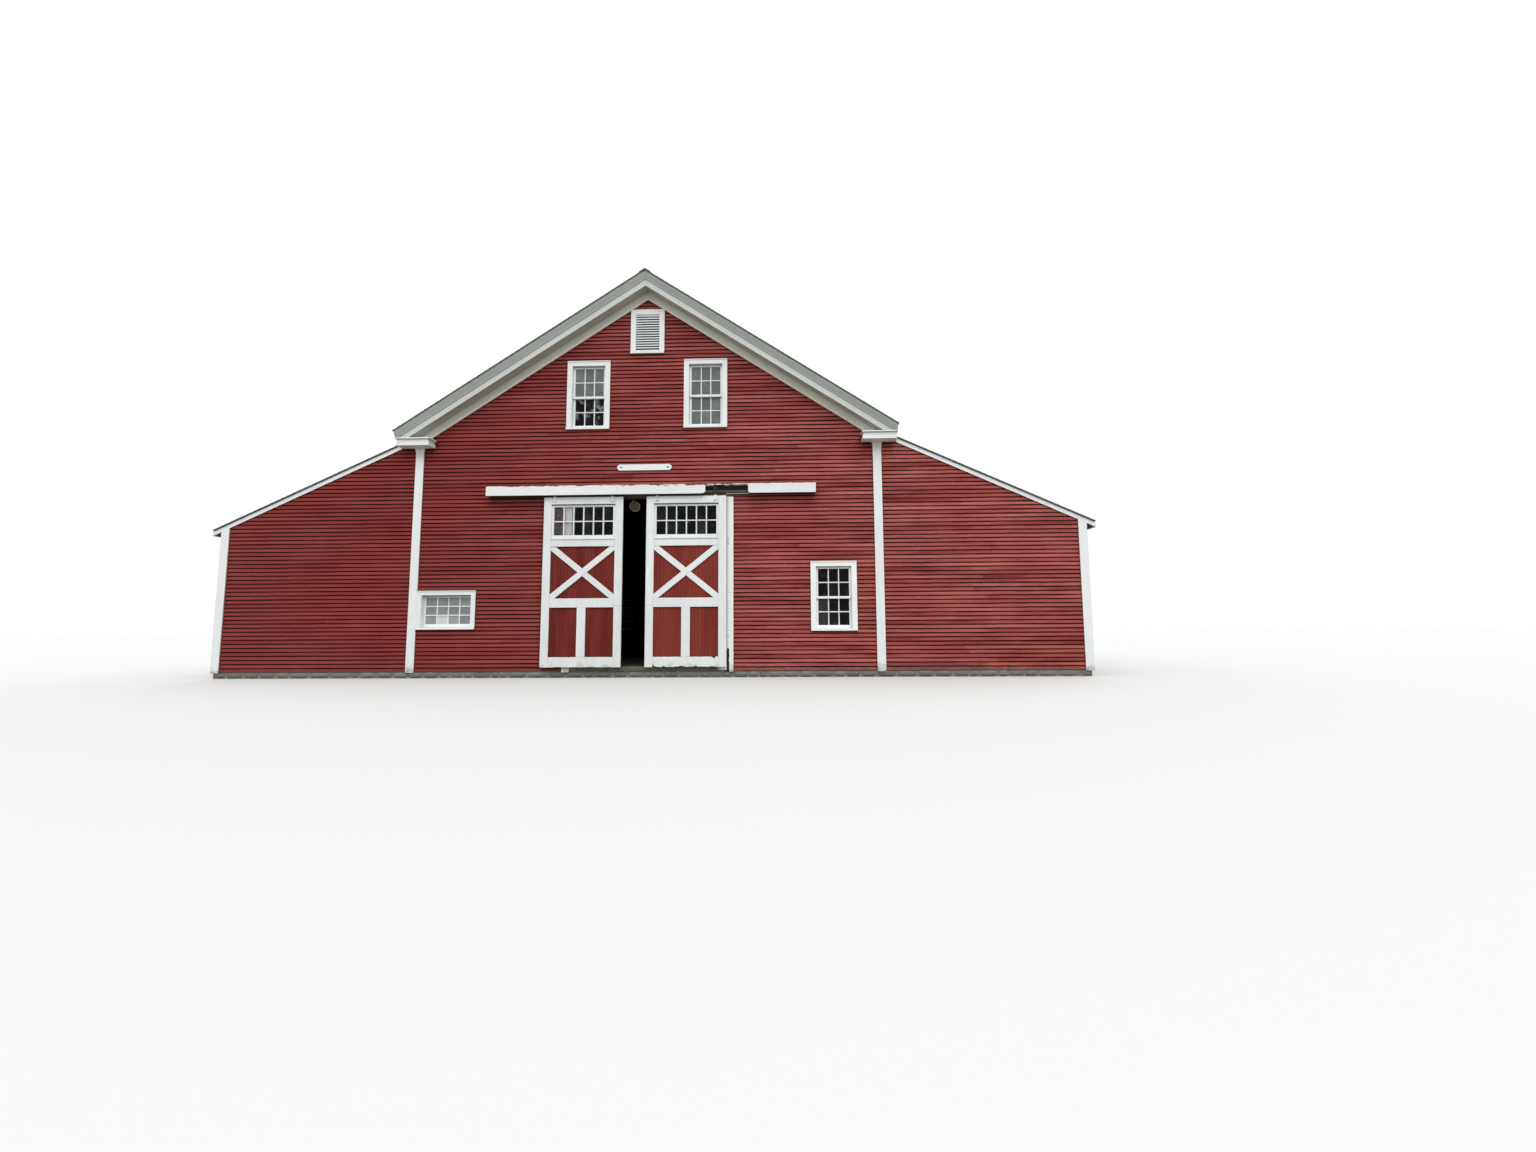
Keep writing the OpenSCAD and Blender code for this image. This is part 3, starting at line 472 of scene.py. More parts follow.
def loft(sections, tones=0.0):
    """Closed bodies from closed outlines: sections holds piece, station, corner and place.
    Each side face joins two corners of one outline to the same two of the next, and each
    end outline is folded shut, its corners joined in pairs from both ends of the list."""
    pieces, stations, corners = sections.shape[:3]
    ids = np.arange(pieces * stations * corners).reshape(pieces, stations, corners)
    turn = np.roll(ids, -1, axis=2)
    sides = np.stack((ids[:, :-1], turn[:, :-1], turn[:, 1:], ids[:, 1:]), -1).reshape(-1, 4)
    low = np.arange(corners // 2 - 1)
    fold = np.stack((low, low + 1, corners - 2 - low, corners - 1 - low), -1)
    first = ids[:, 0][:, fold[:, ::-1]].reshape(-1, 4)
    last = ids[:, -1][:, fold].reshape(-1, 4)
    tone = np.broadcast_to(np.reshape(tones, (-1, 1)), (pieces, stations * corners)).ravel()
    return sections.reshape(-1, 3), np.concatenate((sides, first, last)), tone


def join(*meshes):
    """Several meshes in one list, the faces of each counted on from those before it."""
    starts = np.cumsum([0] + [len(mesh[0]) for mesh in meshes[:-1]])
    faces = [mesh[1] + start for mesh, start in zip(meshes, starts)]
    points = [mesh[0] for mesh in meshes]
    tones = [mesh[2] for mesh in meshes]
    return np.concatenate(points), np.concatenate(faces), np.concatenate(tones)


def put_piece(name, mesh, body, material, smooth=False, bevel=0.0, stands_for=()):
    """Stores arrays of points, four-cornered faces and tones as a piece that rides on a body."""
    points, faces, tones = mesh
    data = bpy.data.meshes.new(name)
    data.from_pydata(points.tolist(), [], faces.tolist(), shade_flat=not smooth)
    layer = data.attributes.new("tone", "FLOAT", "POINT")
    layer.data.foreach_set("value", np.asarray(tones, np.float32))
    data.materials.append(material)
    piece = bpy.data.objects.new(name, data)
    scene.collection.objects.link(piece)
    if bevel:
        rounding = piece.modifiers.new("rounded_edges", "BEVEL")
        rounding.width = bevel
        rounding.segments = 2
        rounding.limit_method = "ANGLE"
    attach(piece, body)
    if stands_for:
        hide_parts(*stands_for)
    return piece


def course_spans(row_foot, top, left, right, holes):
    """Stretches of one course between the trim: the whole width, less each hole, with a
    lower strip left under a sill that the course only partly meets."""
    middle = row_foot + exposure / 2
    height = min(exposure + board_lap, top - row_foot)
    spans = [(left(middle), right(middle), height)]
    for hole_left, hole_right, hole_low, hole_high in holes:
        if row_foot + exposure <= hole_low or row_foot >= hole_high - exposure:
            continue
        cut = []
        for start, end, high in spans:
            if end <= hole_left or start >= hole_right:
                cut.append((start, end, high))
                continue
            if start < hole_left:
                cut.append((start, hole_left + casing_tuck, high))
            if row_foot < hole_low - casing_tuck:
                under = min(high, hole_low + sill_tuck - row_foot)
                cut.append((max(start, hole_left + casing_tuck),
                            min(end, hole_right - casing_tuck), under))
            if end > hole_right:
                cut.append((hole_right - casing_tuck, end, high))
        spans = cut
    return [span for span in spans if span[1] - span[0] > shortest_board]


def clapboards(at, top, left, right, holes, seed):
    """One wall's clapboards. A board's section is a wedge: out from the wall by the tip's
    thickness at its top, growing evenly to the butt's at its foot, with a rounded butt.
    The courses' feet follow a sum of three slow sine waves along the wall."""
    rng = np.random.default_rng(seed)
    rows = int((top - siding_foot) / exposure) + 1
    waves = rng.uniform(0, 2 * np.pi, (rows, 3))
    found = []
    for row in range(rows):
        row_foot = siding_foot + row * exposure
        for start, end, high in course_spans(row_foot, top, left, right, holes):
            count = max(1, int(round((end - start) / rng.uniform(*board_lengths))))
            joints = np.linspace(start, end, count + 1)
            joints[1:-1] += rng.uniform(-joint_shift, joint_shift, count - 1)
            for i in range(count):
                found.append((row, joints[i], joints[i + 1], high, i == 0, i == count - 1))
    row, start, end, high, first, last = (np.array(column) for column in zip(*found))
    count = len(found)
    foot = siding_foot + row * exposure + rng.normal(0, foot_wander, count)
    thick = butt_thick + rng.normal(0, butt_wander, count)
    cup = rng.normal(cup_size, cup_wander, count)
    share = np.array((1, 1, 0.5, 0, 0, 0))
    rise = high[:, None] * share + np.array((0, 0, 0, butt_round, 0, 0))
    z = foot[:, None] + rise
    slope = (thick[:, None] - tip_thick) * rise / (exposure + board_lap)
    w = thick[:, None] - slope + cup[:, None] * np.array((0, 0, 1, 0, 0, 0))
    w = w * np.array((0, 1, 1, 1, 1, 0)) - np.array((back_sunk, 0, 0, 0, butt_round, back_sunk))
    middle = foot + exposure / 2
    first_edge = np.isclose(start, left(middle), atol=shortest_board) & first
    last_edge = np.isclose(end, right(middle), atol=shortest_board) & last
    u_start = np.where(first_edge[:, None], left(z), start[:, None] + board_gap / 2)
    u_end = np.where(last_edge[:, None], right(z), end[:, None] - board_gap / 2)
    step = np.linspace(0, 1, board_stations)[None, :, None]
    u = u_start[:, None, :] + (u_end - u_start)[:, None, :] * step
    wander = np.zeros_like(u)
    for k, (length, size) in enumerate(butt_waves):
        wander += size * np.sin(2 * np.pi * u / length + waves[row, k][:, None, None])
    bow = bow_size * np.sin(2 * np.pi * u / bow_length + waves[row, 1][:, None, None] * 2)
    w = w[:, None, :] + bow * np.array((0, 1, 1, 1, 1, 0))
    tones = rng.beta(*fading_spread, count)
    return loft(at(u, w, z[:, None, :] + wander), tones)


front_at = face_map((0, -wall_out, 0), (0, -1, 0))
back_at = face_map((0, wall_out, 0), (0, 1, 0))
right_at = face_map((wall_side, 0, 0), (1, 0, 0))
left_at = face_map((-wall_side, 0, 0), (-1, 0, 0))

corner_inside = 5.050
frieze_line = 8.655
wing_line = 7.731
wing_pitch = np.radians(24.6)
wing_inside = 5.226
wing_outside = 9.434
return_level = 5.15
main_top = 8.56
side_top = 3.288
side_reach = 6.554
side_places = 3.26 * (np.arange(4) - 1.5)
upper_place, lower_place, small_place = 1.33, 4.14, -4.391
upper_foot, lower_foot, small_foot = 5.53, 0.99, 1.06
# a window's width and height over its casing, the casing's width, and the number of sashes
upper_size = (0.98, 1.60, 0.114, 2)
lower_size = (1.00, 1.51, 0.114, 2)
small_size = (1.31, 0.855, 0.100, 1)
vent_half, vent_low, vent_high = 0.385, 7.280, 8.330
doorway_left, doorway_right = -1.780, 1.960
cover_left, cover_right = -3.510, 3.770
track_board_side, track_board_top = 3.990, 4.190


def window_hole(u, foot, size):
    """Left, right, lower and upper edges of a window's casing."""
    return u - size[0] / 2, u + size[0] / 2, foot, foot + size[1]


upper_holes = [window_hole(-upper_place, upper_foot, upper_size),
               window_hole(upper_place, upper_foot, upper_size),
               (-vent_half, vent_half, vent_low, vent_high)]
lower_hole = window_hole(lower_place, lower_foot, lower_size)
small_hole = window_hole(small_place, small_foot, small_size)
doorway_holes = [(doorway_left, doorway_right, -1.0, track_board_top),
                 (cover_left, cover_right, track_board_side, track_board_top)]


def main_edge(z):
    """Half the width between the corner boards, or up to the frieze where that is less."""
    return np.minimum(corner_inside, (frieze_line - z) / rake_rise)


def wing_edge(z):
    """Reach of a wing's courses: to its corner board, or up to its rake board."""
    return np.minimum(wing_outside, (wing_line - z) / np.tan(wing_pitch))


def lap_shadow(tree, home, colour):
    """Painted shadow and dirt: a dark line under each butt, over the top part of every course;
    and painted shade that makes the paint darker and less faded towards the left end."""
    wander = ramped(tree, cloudy(tree, home, 2.3, 3.0), 0.3, 0.7, -0.05, 0.05)
    spot = place(tree, "ShaderNodeSeparateXYZ", {0: home})
    left_shade = ramped(tree, spot.outputs["X"], 3.0, -4.5, 0.0, 0.75)
    colour = tinted(tree, left_shade, colour, barn_red)
    courses = sums(tree, "DIVIDE", sums(tree, "SUBTRACT", spot.outputs["Z"], siding_foot), exposure)
    level = sums(tree, "ADD", sums(tree, "FRACT", courses), wander)
    return tinted(tree, ramped(tree, level, 0.63, 0.76, 0.0, 0.97), colour, red_dirt_and_shade)


red_paint = painted_board("red_clapboard_paint", (1.1, 1.1, 12.0), red_coats, 0.14, 0.14,
                          dirt=(red_dirt_and_shade, 0.14, 0.95), edges=False, shine=0.05,
                          stain=lap_shadow, foot=foot_mud)

front_main = clapboards(front_at, main_top, lambda z: -main_edge(z), main_edge,
                        upper_holes + doorway_holes + [lower_hole, small_hole], 11)
put_piece("front_clapboards", front_main, "barn", red_paint)
mirror_hole = window_hole(-lower_place, lower_foot, lower_size)
back_main = clapboards(back_at, main_top, lambda z: -main_edge(z), main_edge,
                       upper_holes + [lower_hole, mirror_hole], 12)
put_piece("back_clapboards", back_main, "barn", red_paint)
wing_fields = []
for seed, at in ((21, front_at), (22, back_at)):
    wing_fields.append(clapboards(at, return_level, lambda z: 0 * z + wing_inside,
                                  wing_edge, [], seed))
    wing_fields.append(clapboards(at, return_level, lambda z: -wing_edge(z),
                                  lambda z: 0 * z - wing_inside, [], seed + 10))
put_piece("wing_clapboards", join(*wing_fields), "barn", red_paint)
side_holes = [window_hole(y, small_foot, small_size) for y in side_places]
side_fields = [clapboards(at, side_top, lambda z: 0 * z - side_reach,
                          lambda z: 0 * z + side_reach, side_holes, seed)
               for seed, at in ((31, right_at), (32, left_at))]
put_piece("side_clapboards", join(*side_fields), "barn", red_paint)


# Roof shingles
# Split wood shingles in double-lapped courses on all four slopes, grey with age, with moss in
# the joints. Boards cap the ridge.
shingle_exposure = 0.14
shingle_length = 0.165
shingle_butt = 0.009
shingle_tip = 0.002
shingle_gap = 0.004
shingle_wander = 0.007
shingle_thinning = 0.0025
shingle_sunk = 0.001
# widths from and to, a common width to count by, and the narrowest at the end of a course
shingle_row = ((0.11, 0.27), 0.15, 0.08)
shingle_grey = (0.105, 0.10, 0.095, 1)
shingle_pale = (0.21, 0.20, 0.185, 1)
shingle_moss = (0.07, 0.085, 0.04, 1)
shingle_dirt = (0.03, 0.03, 0.027, 1)
roof_wood = ((0.075, 0.07, 0.066, 1), (0.13, 0.12, 0.11, 1), (0.02, 0.02, 0.02, 1))


def random_joints(rng, reach, widths, common, narrowest):
    """Joints of a row that reaches to both sides of its middle: random widths added up,
    less those that would leave too little at the end."""
    joints = np.cumsum(rng.uniform(*widths, int(2 * reach / common)))
    return np.concatenate(([0.0], joints[joints < 2 * reach - narrowest], [2 * reach])) - reach


def shingle_courses(peak, pitch, side, near_x, far_x, reach, seed):
    """One slope of shingles. Each is a wedge laid down the slope from a thin tip to a thick
    butt: distance down the slope, across it, and out along its normal."""
    rng = np.random.default_rng(seed)
    down = np.array((side * np.cos(pitch), 0, -np.sin(pitch)))
    across = np.array((0, side, 0.0))
    normal = np.array((side * np.sin(pitch), 0, np.cos(pitch)))
    lowest = far_x / np.cos(pitch)
    highest = near_x / np.cos(pitch)
    foots, lefts, rights = [], [], []
    for foot in np.arange(lowest, highest + 0.05, -shingle_exposure):
        joints = random_joints(rng, reach, *shingle_row)
        foots.append(np.full(len(joints) - 1, foot))
        lefts.append(joints[:-1])
        rights.append(joints[1:])
    foot, a_low, a_high = (np.concatenate(part) for part in (foots, lefts, rights))
    lift = np.where(foot > lowest - 0.01, 0.0, 1.0)
    foot = foot - lift * rng.uniform(0, shingle_wander, len(foot))
    tip = np.maximum(foot - shingle_length, highest)
    thick = shingle_butt - rng.uniform(0, shingle_thinning, len(foot))
    s = np.stack((tip, foot), 1)[:, :, None]
    a_low = a_low + shingle_gap / 2
    a_high = a_high - shingle_gap / 2
    a = np.stack((a_low, a_high, a_high, a_low), 1)[:, None, :]
    t_high = np.stack((np.full(len(foot), shingle_tip), thick), 1)
    t_low = np.full_like(t_high, -shingle_sunk)
    t = np.stack((t_low, t_low, t_high, t_high), 2)
    top = np.array((0, 0, peak))
    spots = top + s[..., None] * down + a[..., None] * across + t[..., None] * normal
    return loft(spots, rng.uniform(0, 1, len(foot)))


def shingle_finish():
    """Weathered shingles: a tone for each, split streaks down the slope and spots of moss."""
    material, tree, shader, home = new_material("grey_shingles")
    grain = cloudy(tree, stretched(tree, home, (3, 60, 3)), 1.0, 6.0, Roughness=0.6)
    streaks = ramped(tree, grain, 0.3, 0.75, -0.1, 0.5)
    share = sums(tree, "MULTIPLY_ADD", stored_tone(tree), 0.7, streaks)
    colour = tinted(tree, share, shingle_grey, shingle_pale)
    moss = ramped(tree, cloudy(tree, home, 1.4, 9.0, Roughness=0.7), 0.56, 0.64, 0.0, 0.7)
    colour = tinted(tree, moss, colour, shingle_moss)
    # darker where the shingles shut each other in: dirt and painted shade
    shut_in = {"Color": colour, "Reach": 0.03, "Shade and dirt": shingle_dirt}
    colour = with_group(tree, dirt_and_shade_group, shut_in).outputs[0]
    plug(tree, shader, {"Base Color": colour, "Roughness": 0.88})
    emboss(tree, shader, grain, 0.5, 0.003)
    return material


shingle_wood = shingle_finish()
ridge_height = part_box("main_roof_right")[1].z
wing_peak = 7.808
main_field = (0.08, 5.575, 7.078)
wing_field = (5.567, 9.801, 6.748)
for name, side in (("left", -1), ("right", 1)):
    slope = shingle_courses(ridge_height, main_pitch, side, *main_field, 40 + side)
    put_piece(f"main_shingles_{name}", slope, "barn", shingle_wood)
    slope = shingle_courses(wing_peak, wing_pitch, side, *wing_field, 50 + side)
    put_piece(f"wing_shingles_{name}", slope, "barn", shingle_wood)
finish_nodes(rough_wood("roof_boards", (6.0, 1.0, 6.0), 1, 2.4, roof_wood), "main_roof_left",
             "main_roof_right", "left_wing_roof", "right_wing_roof", "ridge_boards")


# Foundation, sleepers, floor and posts
# Field stones laid in mortar under the walls. Rough sleepers carry wide worn planks, and two
# rows of old sawn posts carry the main eaves.
stone_grey = (0.23, 0.215, 0.19, 1)
stone_dark = (0.12, 0.115, 0.105, 1)
stone_lichen = (0.33, 0.34, 0.27, 1)
mortar = (0.30, 0.285, 0.255, 1)
plank_wood = ((0.06, 0.055, 0.045, 1), (0.11, 0.10, 0.085, 1), (0.015, 0.014, 0.012, 1))
sill_wood = ((0.10, 0.105, 0.075, 1), (0.22, 0.225, 0.18, 1), (0.02, 0.02, 0.018, 1))
stone_row = ((0.17, 0.46), 0.2, 0.15)
stone_middle, stone_set_in = 0.074, 0.028
stone_bottom, stone_top = 0.003, 0.147
stone_highs, stone_deeps = (0.058, 0.068), (0.035, 0.05)
stone_joint = 0.006
stone_roughness = 0.05


def foundation_stones(at, reach, rng):
    """A row of rounded stones: each is a bulged tube along the wall whose radius falls off
    towards its ends by a cube root, with every corner pushed in or out a little."""
    joints = random_joints(rng, reach, *stone_row)
    count = len(joints) - 1
    middle = (joints[1:] + joints[:-1]) / 2
    half = (joints[1:] - joints[:-1]) / 2 - stone_joint
    step = np.array((-1, -0.82, -0.4, 0.4, 0.82, 1))
    swell = (1 - np.abs(step * 0.985) ** 3) ** (1 / 3)
    angle = np.linspace(0, 2 * np.pi, 8, endpoint=False) + np.pi / 8
    rough = 1 + rng.normal(0, stone_roughness, (count, len(step), 8))
    high = rng.uniform(*stone_highs, count)[:, None, None]
    deep = rng.uniform(*stone_deeps, count)[:, None, None]
    round_z, round_w = (np.sign(part) * np.abs(part) ** 0.7 for part in
                        (np.cos(angle), np.sin(angle)))
    z = stone_middle + swell[None, :, None] * high * round_z * np.minimum(rough, 1.04)
    w = -stone_set_in + swell[None, :, None] * deep * round_w * rough
    u = middle[:, None, None] + half[:, None, None] * step[None, :, None]
    return loft(at(u, w, np.clip(z, stone_bottom, stone_top)), rng.uniform(0, 1, count))


def stone_finish():
    """Rough stone: mottled grey with a tone for each stone, lichen spots and a pitted face."""
    material, tree, shader, home = new_material("field_stones")
    grain = cloudy(tree, home, 14.0, 8.0, Roughness=0.7)
    mottle = ramped(tree, grain, 0.3, 0.7, -0.1, 0.5)
    share = sums(tree, "MULTIPLY_ADD", stored_tone(tree), 0.6, mottle)
    colour = tinted(tree, share, stone_dark, stone_grey)
    lichen = ramped(tree, cloudy(tree, home, 5.0, 7.0, Roughness=0.75), 0.6, 0.64, 0.0, 0.6)
    colour = tinted(tree, lichen, colour, stone_lichen)
    plug(tree, shader, {"Base Color": colour, "Roughness": 0.9})
    emboss(tree, shader, grain, 0.7, 0.01)
    return material


def mortar_finish():
    """Sandy mortar, stained and crumbling."""
    material, tree, shader, home = new_material("old_mortar")
    grain = cloudy(tree, home, 30.0, 8.0, Roughness=0.7)
    colour = tinted(tree, ramped(tree, grain, 0.35, 0.7), mortar, stone_dark)
    plug(tree, shader, {"Base Color": colour, "Roughness": 0.95})
    emboss(tree, shader, grain, 0.6, 0.006)
    return material


stone_rng = np.random.default_rng(61)
stones = join(*(foundation_stones(at, reach, stone_rng) for at, reach in
                ((front_at, 9.56), (back_at, 9.56), (right_at, 6.62), (left_at, 6.62))))
put_piece("foundation_stones", stones, "barn", stone_finish(), smooth=True)
finish_nodes(mortar_finish(), "foundation")
timber = rough_wood("old_timber", (5.0, 5.0, 1.0), 2, 9.0, old_brown)
finish_nodes(timber, "post_frames", "floor_sleepers")
finish_nodes(rough_wood("worn_planks", (9.0, 1.2, 9.0), 0, 0.24, plank_wood), "barn_floor")
finish_nodes(rough_wood("mossy_sill", (1.5, 9.0, 9.0), 2, 9.0, sill_wood), "threshold")


# Glazing bars and panes of the windows
# Six-over-six sashes in the gable and below, twelve-light sashes low down. Thin bars with
# bevelled putty hold small panes of old glass, each set a little off true and dusty. The
# glass is coloured dark grey to near black for the dark inside seen through it: painted shade.
sash_member = 0.050
sash_foot = 0.075
sash_thick = 0.035
sash_back = 0.040
sill_high = 0.045
bar_front = 0.009
bar_back = 0.013
bar_depth = 0.0145
bar_step = 0.002
bar_crossing = 0.0008
pane_thick = 0.004
pane_rebate = 0.004
pane_lean = 0.003
dust_wander = 0.03
# near black, for the dark inside seen through the glass: painted shade
inside_shade_black = (0.002, 0.0025, 0.0025, 1)
head_shade = (0.05, 0.052, 0.048, 1)
# a lighter copy of the white coats; on the doorway boards it is painted light against the shade of
# the door and the cover
lighter_coats = ((0.93, 0.95, 0.94, 1), (0.84, 0.86, 0.85, 1), bare_pine)


def sash_openings(width, height, casing, sashes):
    """Glazed opening of each sash: its width, height, lower edge above the window's foot,
    and how far the sash's face lies behind the wall face. The upper sash is the outer one."""
    clear_w = width - 2 * casing
    clear_h = height - casing - sill_high
    found = []
    for i in range(sashes):
        sash_h = clear_h if sashes == 1 else (clear_h + sash_member) / 2
        rail = sash_foot if i == 0 else sash_member
        back = sash_back + (sash_thick if sashes == 1 else (1 - i) * sash_thick)
        low = sill_high + i * (clear_h - sash_member) / 2 + rail
        found.append((clear_w - 2 * sash_member, sash_h - sash_member - rail, low, back))
    return found


def bar_grid(at, centre, foot, opening, columns, rows, depth=bar_depth, widen=1.0):
    """Crossed bars of one sash. A bar's section is a trapezium, narrow at its face and wide
    at the glass, carried straight up or straight along. widen multiplies its widths."""
    width, height, low, back = opening
    face = -back - bar_step
    deep = face - depth + bar_step
    u = centre + width * (np.arange(1, columns) / columns - 0.5)
    across = widen * np.array((-bar_front, bar_front, bar_back, -bar_back))
    ends = foot + low + np.array((0, height))
    out = np.array((face, face, deep, deep))
    upright = at(u[:, None, None] + across, out, ends[None, :, None])
    z = foot + low + height * np.arange(1, rows) / rows
    over = widen * np.array((bar_back, bar_front, -bar_front, -bar_back))
    sides = centre + width * np.array((-0.5, 0.5))
    deeper = face - bar_crossing
    out = np.array((deep, deeper, deeper, deep))
    level = at(sides[None, :, None], out, z[:, None, None] + over)
    return loft(np.concatenate((upright, level)))


def pane_grid(at, centre, foot, opening, columns, rows, rng, dust, depth=sash_thick / 2, odd=()):
    """Panes of one sash: flat slabs between the bars, each tilted by a small random slope
    along and up, with a dust level for each. odd names single panes, counted from the lower
    left along the rows, and their own levels."""
    width, height, low, back = opening
    cell_w, cell_h = width / columns, height / rows
    column, row = (grid.ravel() for grid in np.meshgrid(np.arange(columns), np.arange(rows)))
    u = centre - width / 2 + (column + 0.5) * cell_w
    z = foot + low + (row + 0.5) * cell_h
    inset = pane_rebate - bar_back
    at_sides = np.stack((column == 0, column == columns - 1), 1)
    at_ends = np.stack((row == 0, row == rows - 1), 1)
    reach_u = cell_w / 2 + np.where(at_sides, pane_rebate, inset)
    reach_z = cell_h / 2 + np.where(at_ends, pane_rebate, inset)
    du = reach_u[:, (0, 1, 1, 0)] * np.array((-1, 1, 1, -1))
    dz = reach_z[:, (0, 0, 1, 1)] * np.array((-1, -1, 1, 1))
    lean = rng.normal(0, pane_lean, (2, len(u), 1))
    middle = -back - depth + lean[0] * du + lean[1] * dz
    w = middle[:, None, :] + pane_thick * np.array((-0.5, 0.5))[None, :, None]
    tones = np.clip(dust + rng.normal(0, dust_wander, len(u)), 0, 1)
    for pane, tone in odd:
        tones[pane] = tone
    return loft(at((u[:, None] + du)[:, None, :], w, (z[:, None] + dz)[:, None, :]), tones)


def pane_finish(name, clean, dusty, through, gloss, shine, film=(0.3, 0.7, -0.08, 0.08),
                bend=1.5):
    """Old glass: partly clear, partly a film whose level differs from pane to pane: dust, and on
    the dark glass also painted reflection. film gives two noise levels and what is added to a
    pane's own level at each, and bend how strongly the glass refracts."""
    material, tree, shader, home = new_material(name)
    smears = cloudy(tree, home, 5.0, 6.0, Roughness=0.6)
    share = sums(tree, "ADD", stored_tone(tree), ramped(tree, smears, *film))
    plug(tree, shader, {"Base Color": tinted(tree, share, clean, dusty), "Roughness": gloss,
                        "Transmission Weight": through, "IOR": bend,
                        "Specular IOR Level": shine})
    emboss(tree, shader, cloudy(tree, home, 3.0, 1.0), 0.15, 0.004)
    return material


def shade_at_heads(depth, amount, *heads):
    """Painted shade at the top of a sash, under the heads of its casings: a band of the given
    depth under each height, only on what stands inside the walls' faces."""
    def laid_on(tree, home, colour):
        spot = place(tree, "ShaderNodeSeparateXYZ", {0: home})
        out_x = sums(tree, "SUBTRACT", sums(tree, "ABSOLUTE", spot.outputs["X"]), wall_side)
        out_y = sums(tree, "SUBTRACT", sums(tree, "ABSOLUTE", spot.outputs["Y"]), wall_out)
        inside = ramped(tree, sums(tree, "MAXIMUM", out_x, out_y), -0.010, -0.014, 0.0, amount)
        for head in heads:
            under = sums(tree, "SUBTRACT", spot.outputs["Z"], head - depth / 2)
            band = ramped(tree, sums(tree, "ABSOLUTE", under), depth / 2 + 0.002, depth / 2 - 0.002)
            share = sums(tree, "MULTIPLY", band, inside)
            colour = tinted(tree, share, colour, head_shade)
        return colour

    return laid_on


grey_glass = pane_finish("dusty_glass", (0.12, 0.13, 0.135, 1), (0.66, 0.68, 0.67, 1),
                         0.03, 0.15, 0.3)
black_glass = pane_finish("dark_glass", inside_shade_black, (0.45, 0.46, 0.44, 1),
                          0.1, 0.08, 0.04, film=(0.54, 0.70, 0.0, 0.05))
# the smears on the dark and smeared glass are dust and painted reflection
reflection_smeared_glass = pane_finish("reflection_smeared_glass", inside_shade_black, (0.45, 0.47, 0.47, 1),
                            0.1, 0.08, 0.05, film=(0.52, 0.60, 0.0, 0.4))
clear_glass = pane_finish("clear_glass", (0.95, 0.97, 0.96, 1), (0.7, 0.72, 0.7, 1),
                          0.97, 0.02, 0.05, bend=1.2)
# each kind's foot, size, and panes across and up in a sash
upper_kind = (upper_foot, upper_size, 3, 2)
lower_kind = (lower_foot, lower_size, 3, 2)
small_kind = (small_foot, small_size, 4, 3)
front_windows = [(front_at, -upper_place) + upper_kind, (front_at, upper_place) + upper_kind,
                 (front_at, lower_place) + lower_kind, (front_at, small_place) + small_kind]
back_windows = [(back_at, -upper_place) + upper_kind, (back_at, upper_place) + upper_kind,
                (back_at, -lower_place) + lower_kind, (back_at, lower_place) + lower_kind]
side_windows = [(at, y) + small_kind for at in (right_at, left_at) for y in side_places]
upper_head, lower_head, small_head = (foot + size[1] - size[2] for foot, size, *_ in (
    upper_kind, lower_kind, small_kind))
tall_shade = shade_at_heads(0.014, 0.6, upper_head, lower_head)
small_shade = shade_at_heads(0.020, 0.9, small_head)
for material_name, coats, head_stain, window_nodes in (
        ("white_paint_windows", white_coats, tall_shade, ("upper_windows", "back_windows")),
        ("white_paint_lower_window", lighter_coats, tall_shade, ("lower_window",)),
        ("white_paint_small_windows", white_coats, small_shade, ("small_window", "side_windows"))):
    window_paint = white_board(material_name, (0.6, 5.0, 5.0), 0.15, coats, stain=head_stain,
                               dirt=(corner_dirt_and_shade, 0.04, 0.45))
    finish_nodes(window_paint, *window_nodes)
white_bars = painted_board("white_paint_bars", (3.0, 3.0, 3.0), white_coats, 0.3, edges=False,
                           dirt=(corner_dirt_and_shade, 0.02, 0.4))
for name, windows in (("front", front_windows), ("back", back_windows), ("side", side_windows)):
    bars = join(*(bar_grid(at, u, foot, opening, columns, rows)
                  for at, u, foot, size, columns, rows in windows
                  for opening in sash_openings(*size)))
    put_piece(f"{name}_glazing_bars", bars, "barn", white_bars)

pane_rng = np.random.default_rng(71)
# single panes made lighter: painted highlights and reflections on the glass
painted_pane_reflections = {(small_place, 0): [(1, 0.85), (2, 0.35), (11, 0.3)],
             (lower_place, 0): [(0, 0.07), (3, 0.07)]}
grey_panes, black_panes, reflection_smeared_panes = [], [], []
for at, u, foot, size, columns, rows in front_windows + back_windows + side_windows:
    for i, opening in enumerate(sash_openings(*size)):
        group, dust, odd = grey_panes, 0.24 if foot == small_foot else 0.04, []
        if at is front_at:
            odd = painted_pane_reflections.get((u, i), [])
            if u == lower_place:
                group, dust = black_panes, 0.0
            if u == -upper_place and i == 0:
                group, dust = reflection_smeared_panes, 0.0
        group.append(pane_grid(at, u, foot, opening, columns, rows, pane_rng, dust, odd=odd))
for name, panes, glass in (("dusty_panes", grey_panes, grey_glass),
                           ("dark_panes", black_panes, black_glass),
                           ("reflection_smeared_panes", reflection_smeared_panes, reflection_smeared_glass)):
    put_piece(name, join(*panes), "barn", glass, stands_for=("window_glass",))


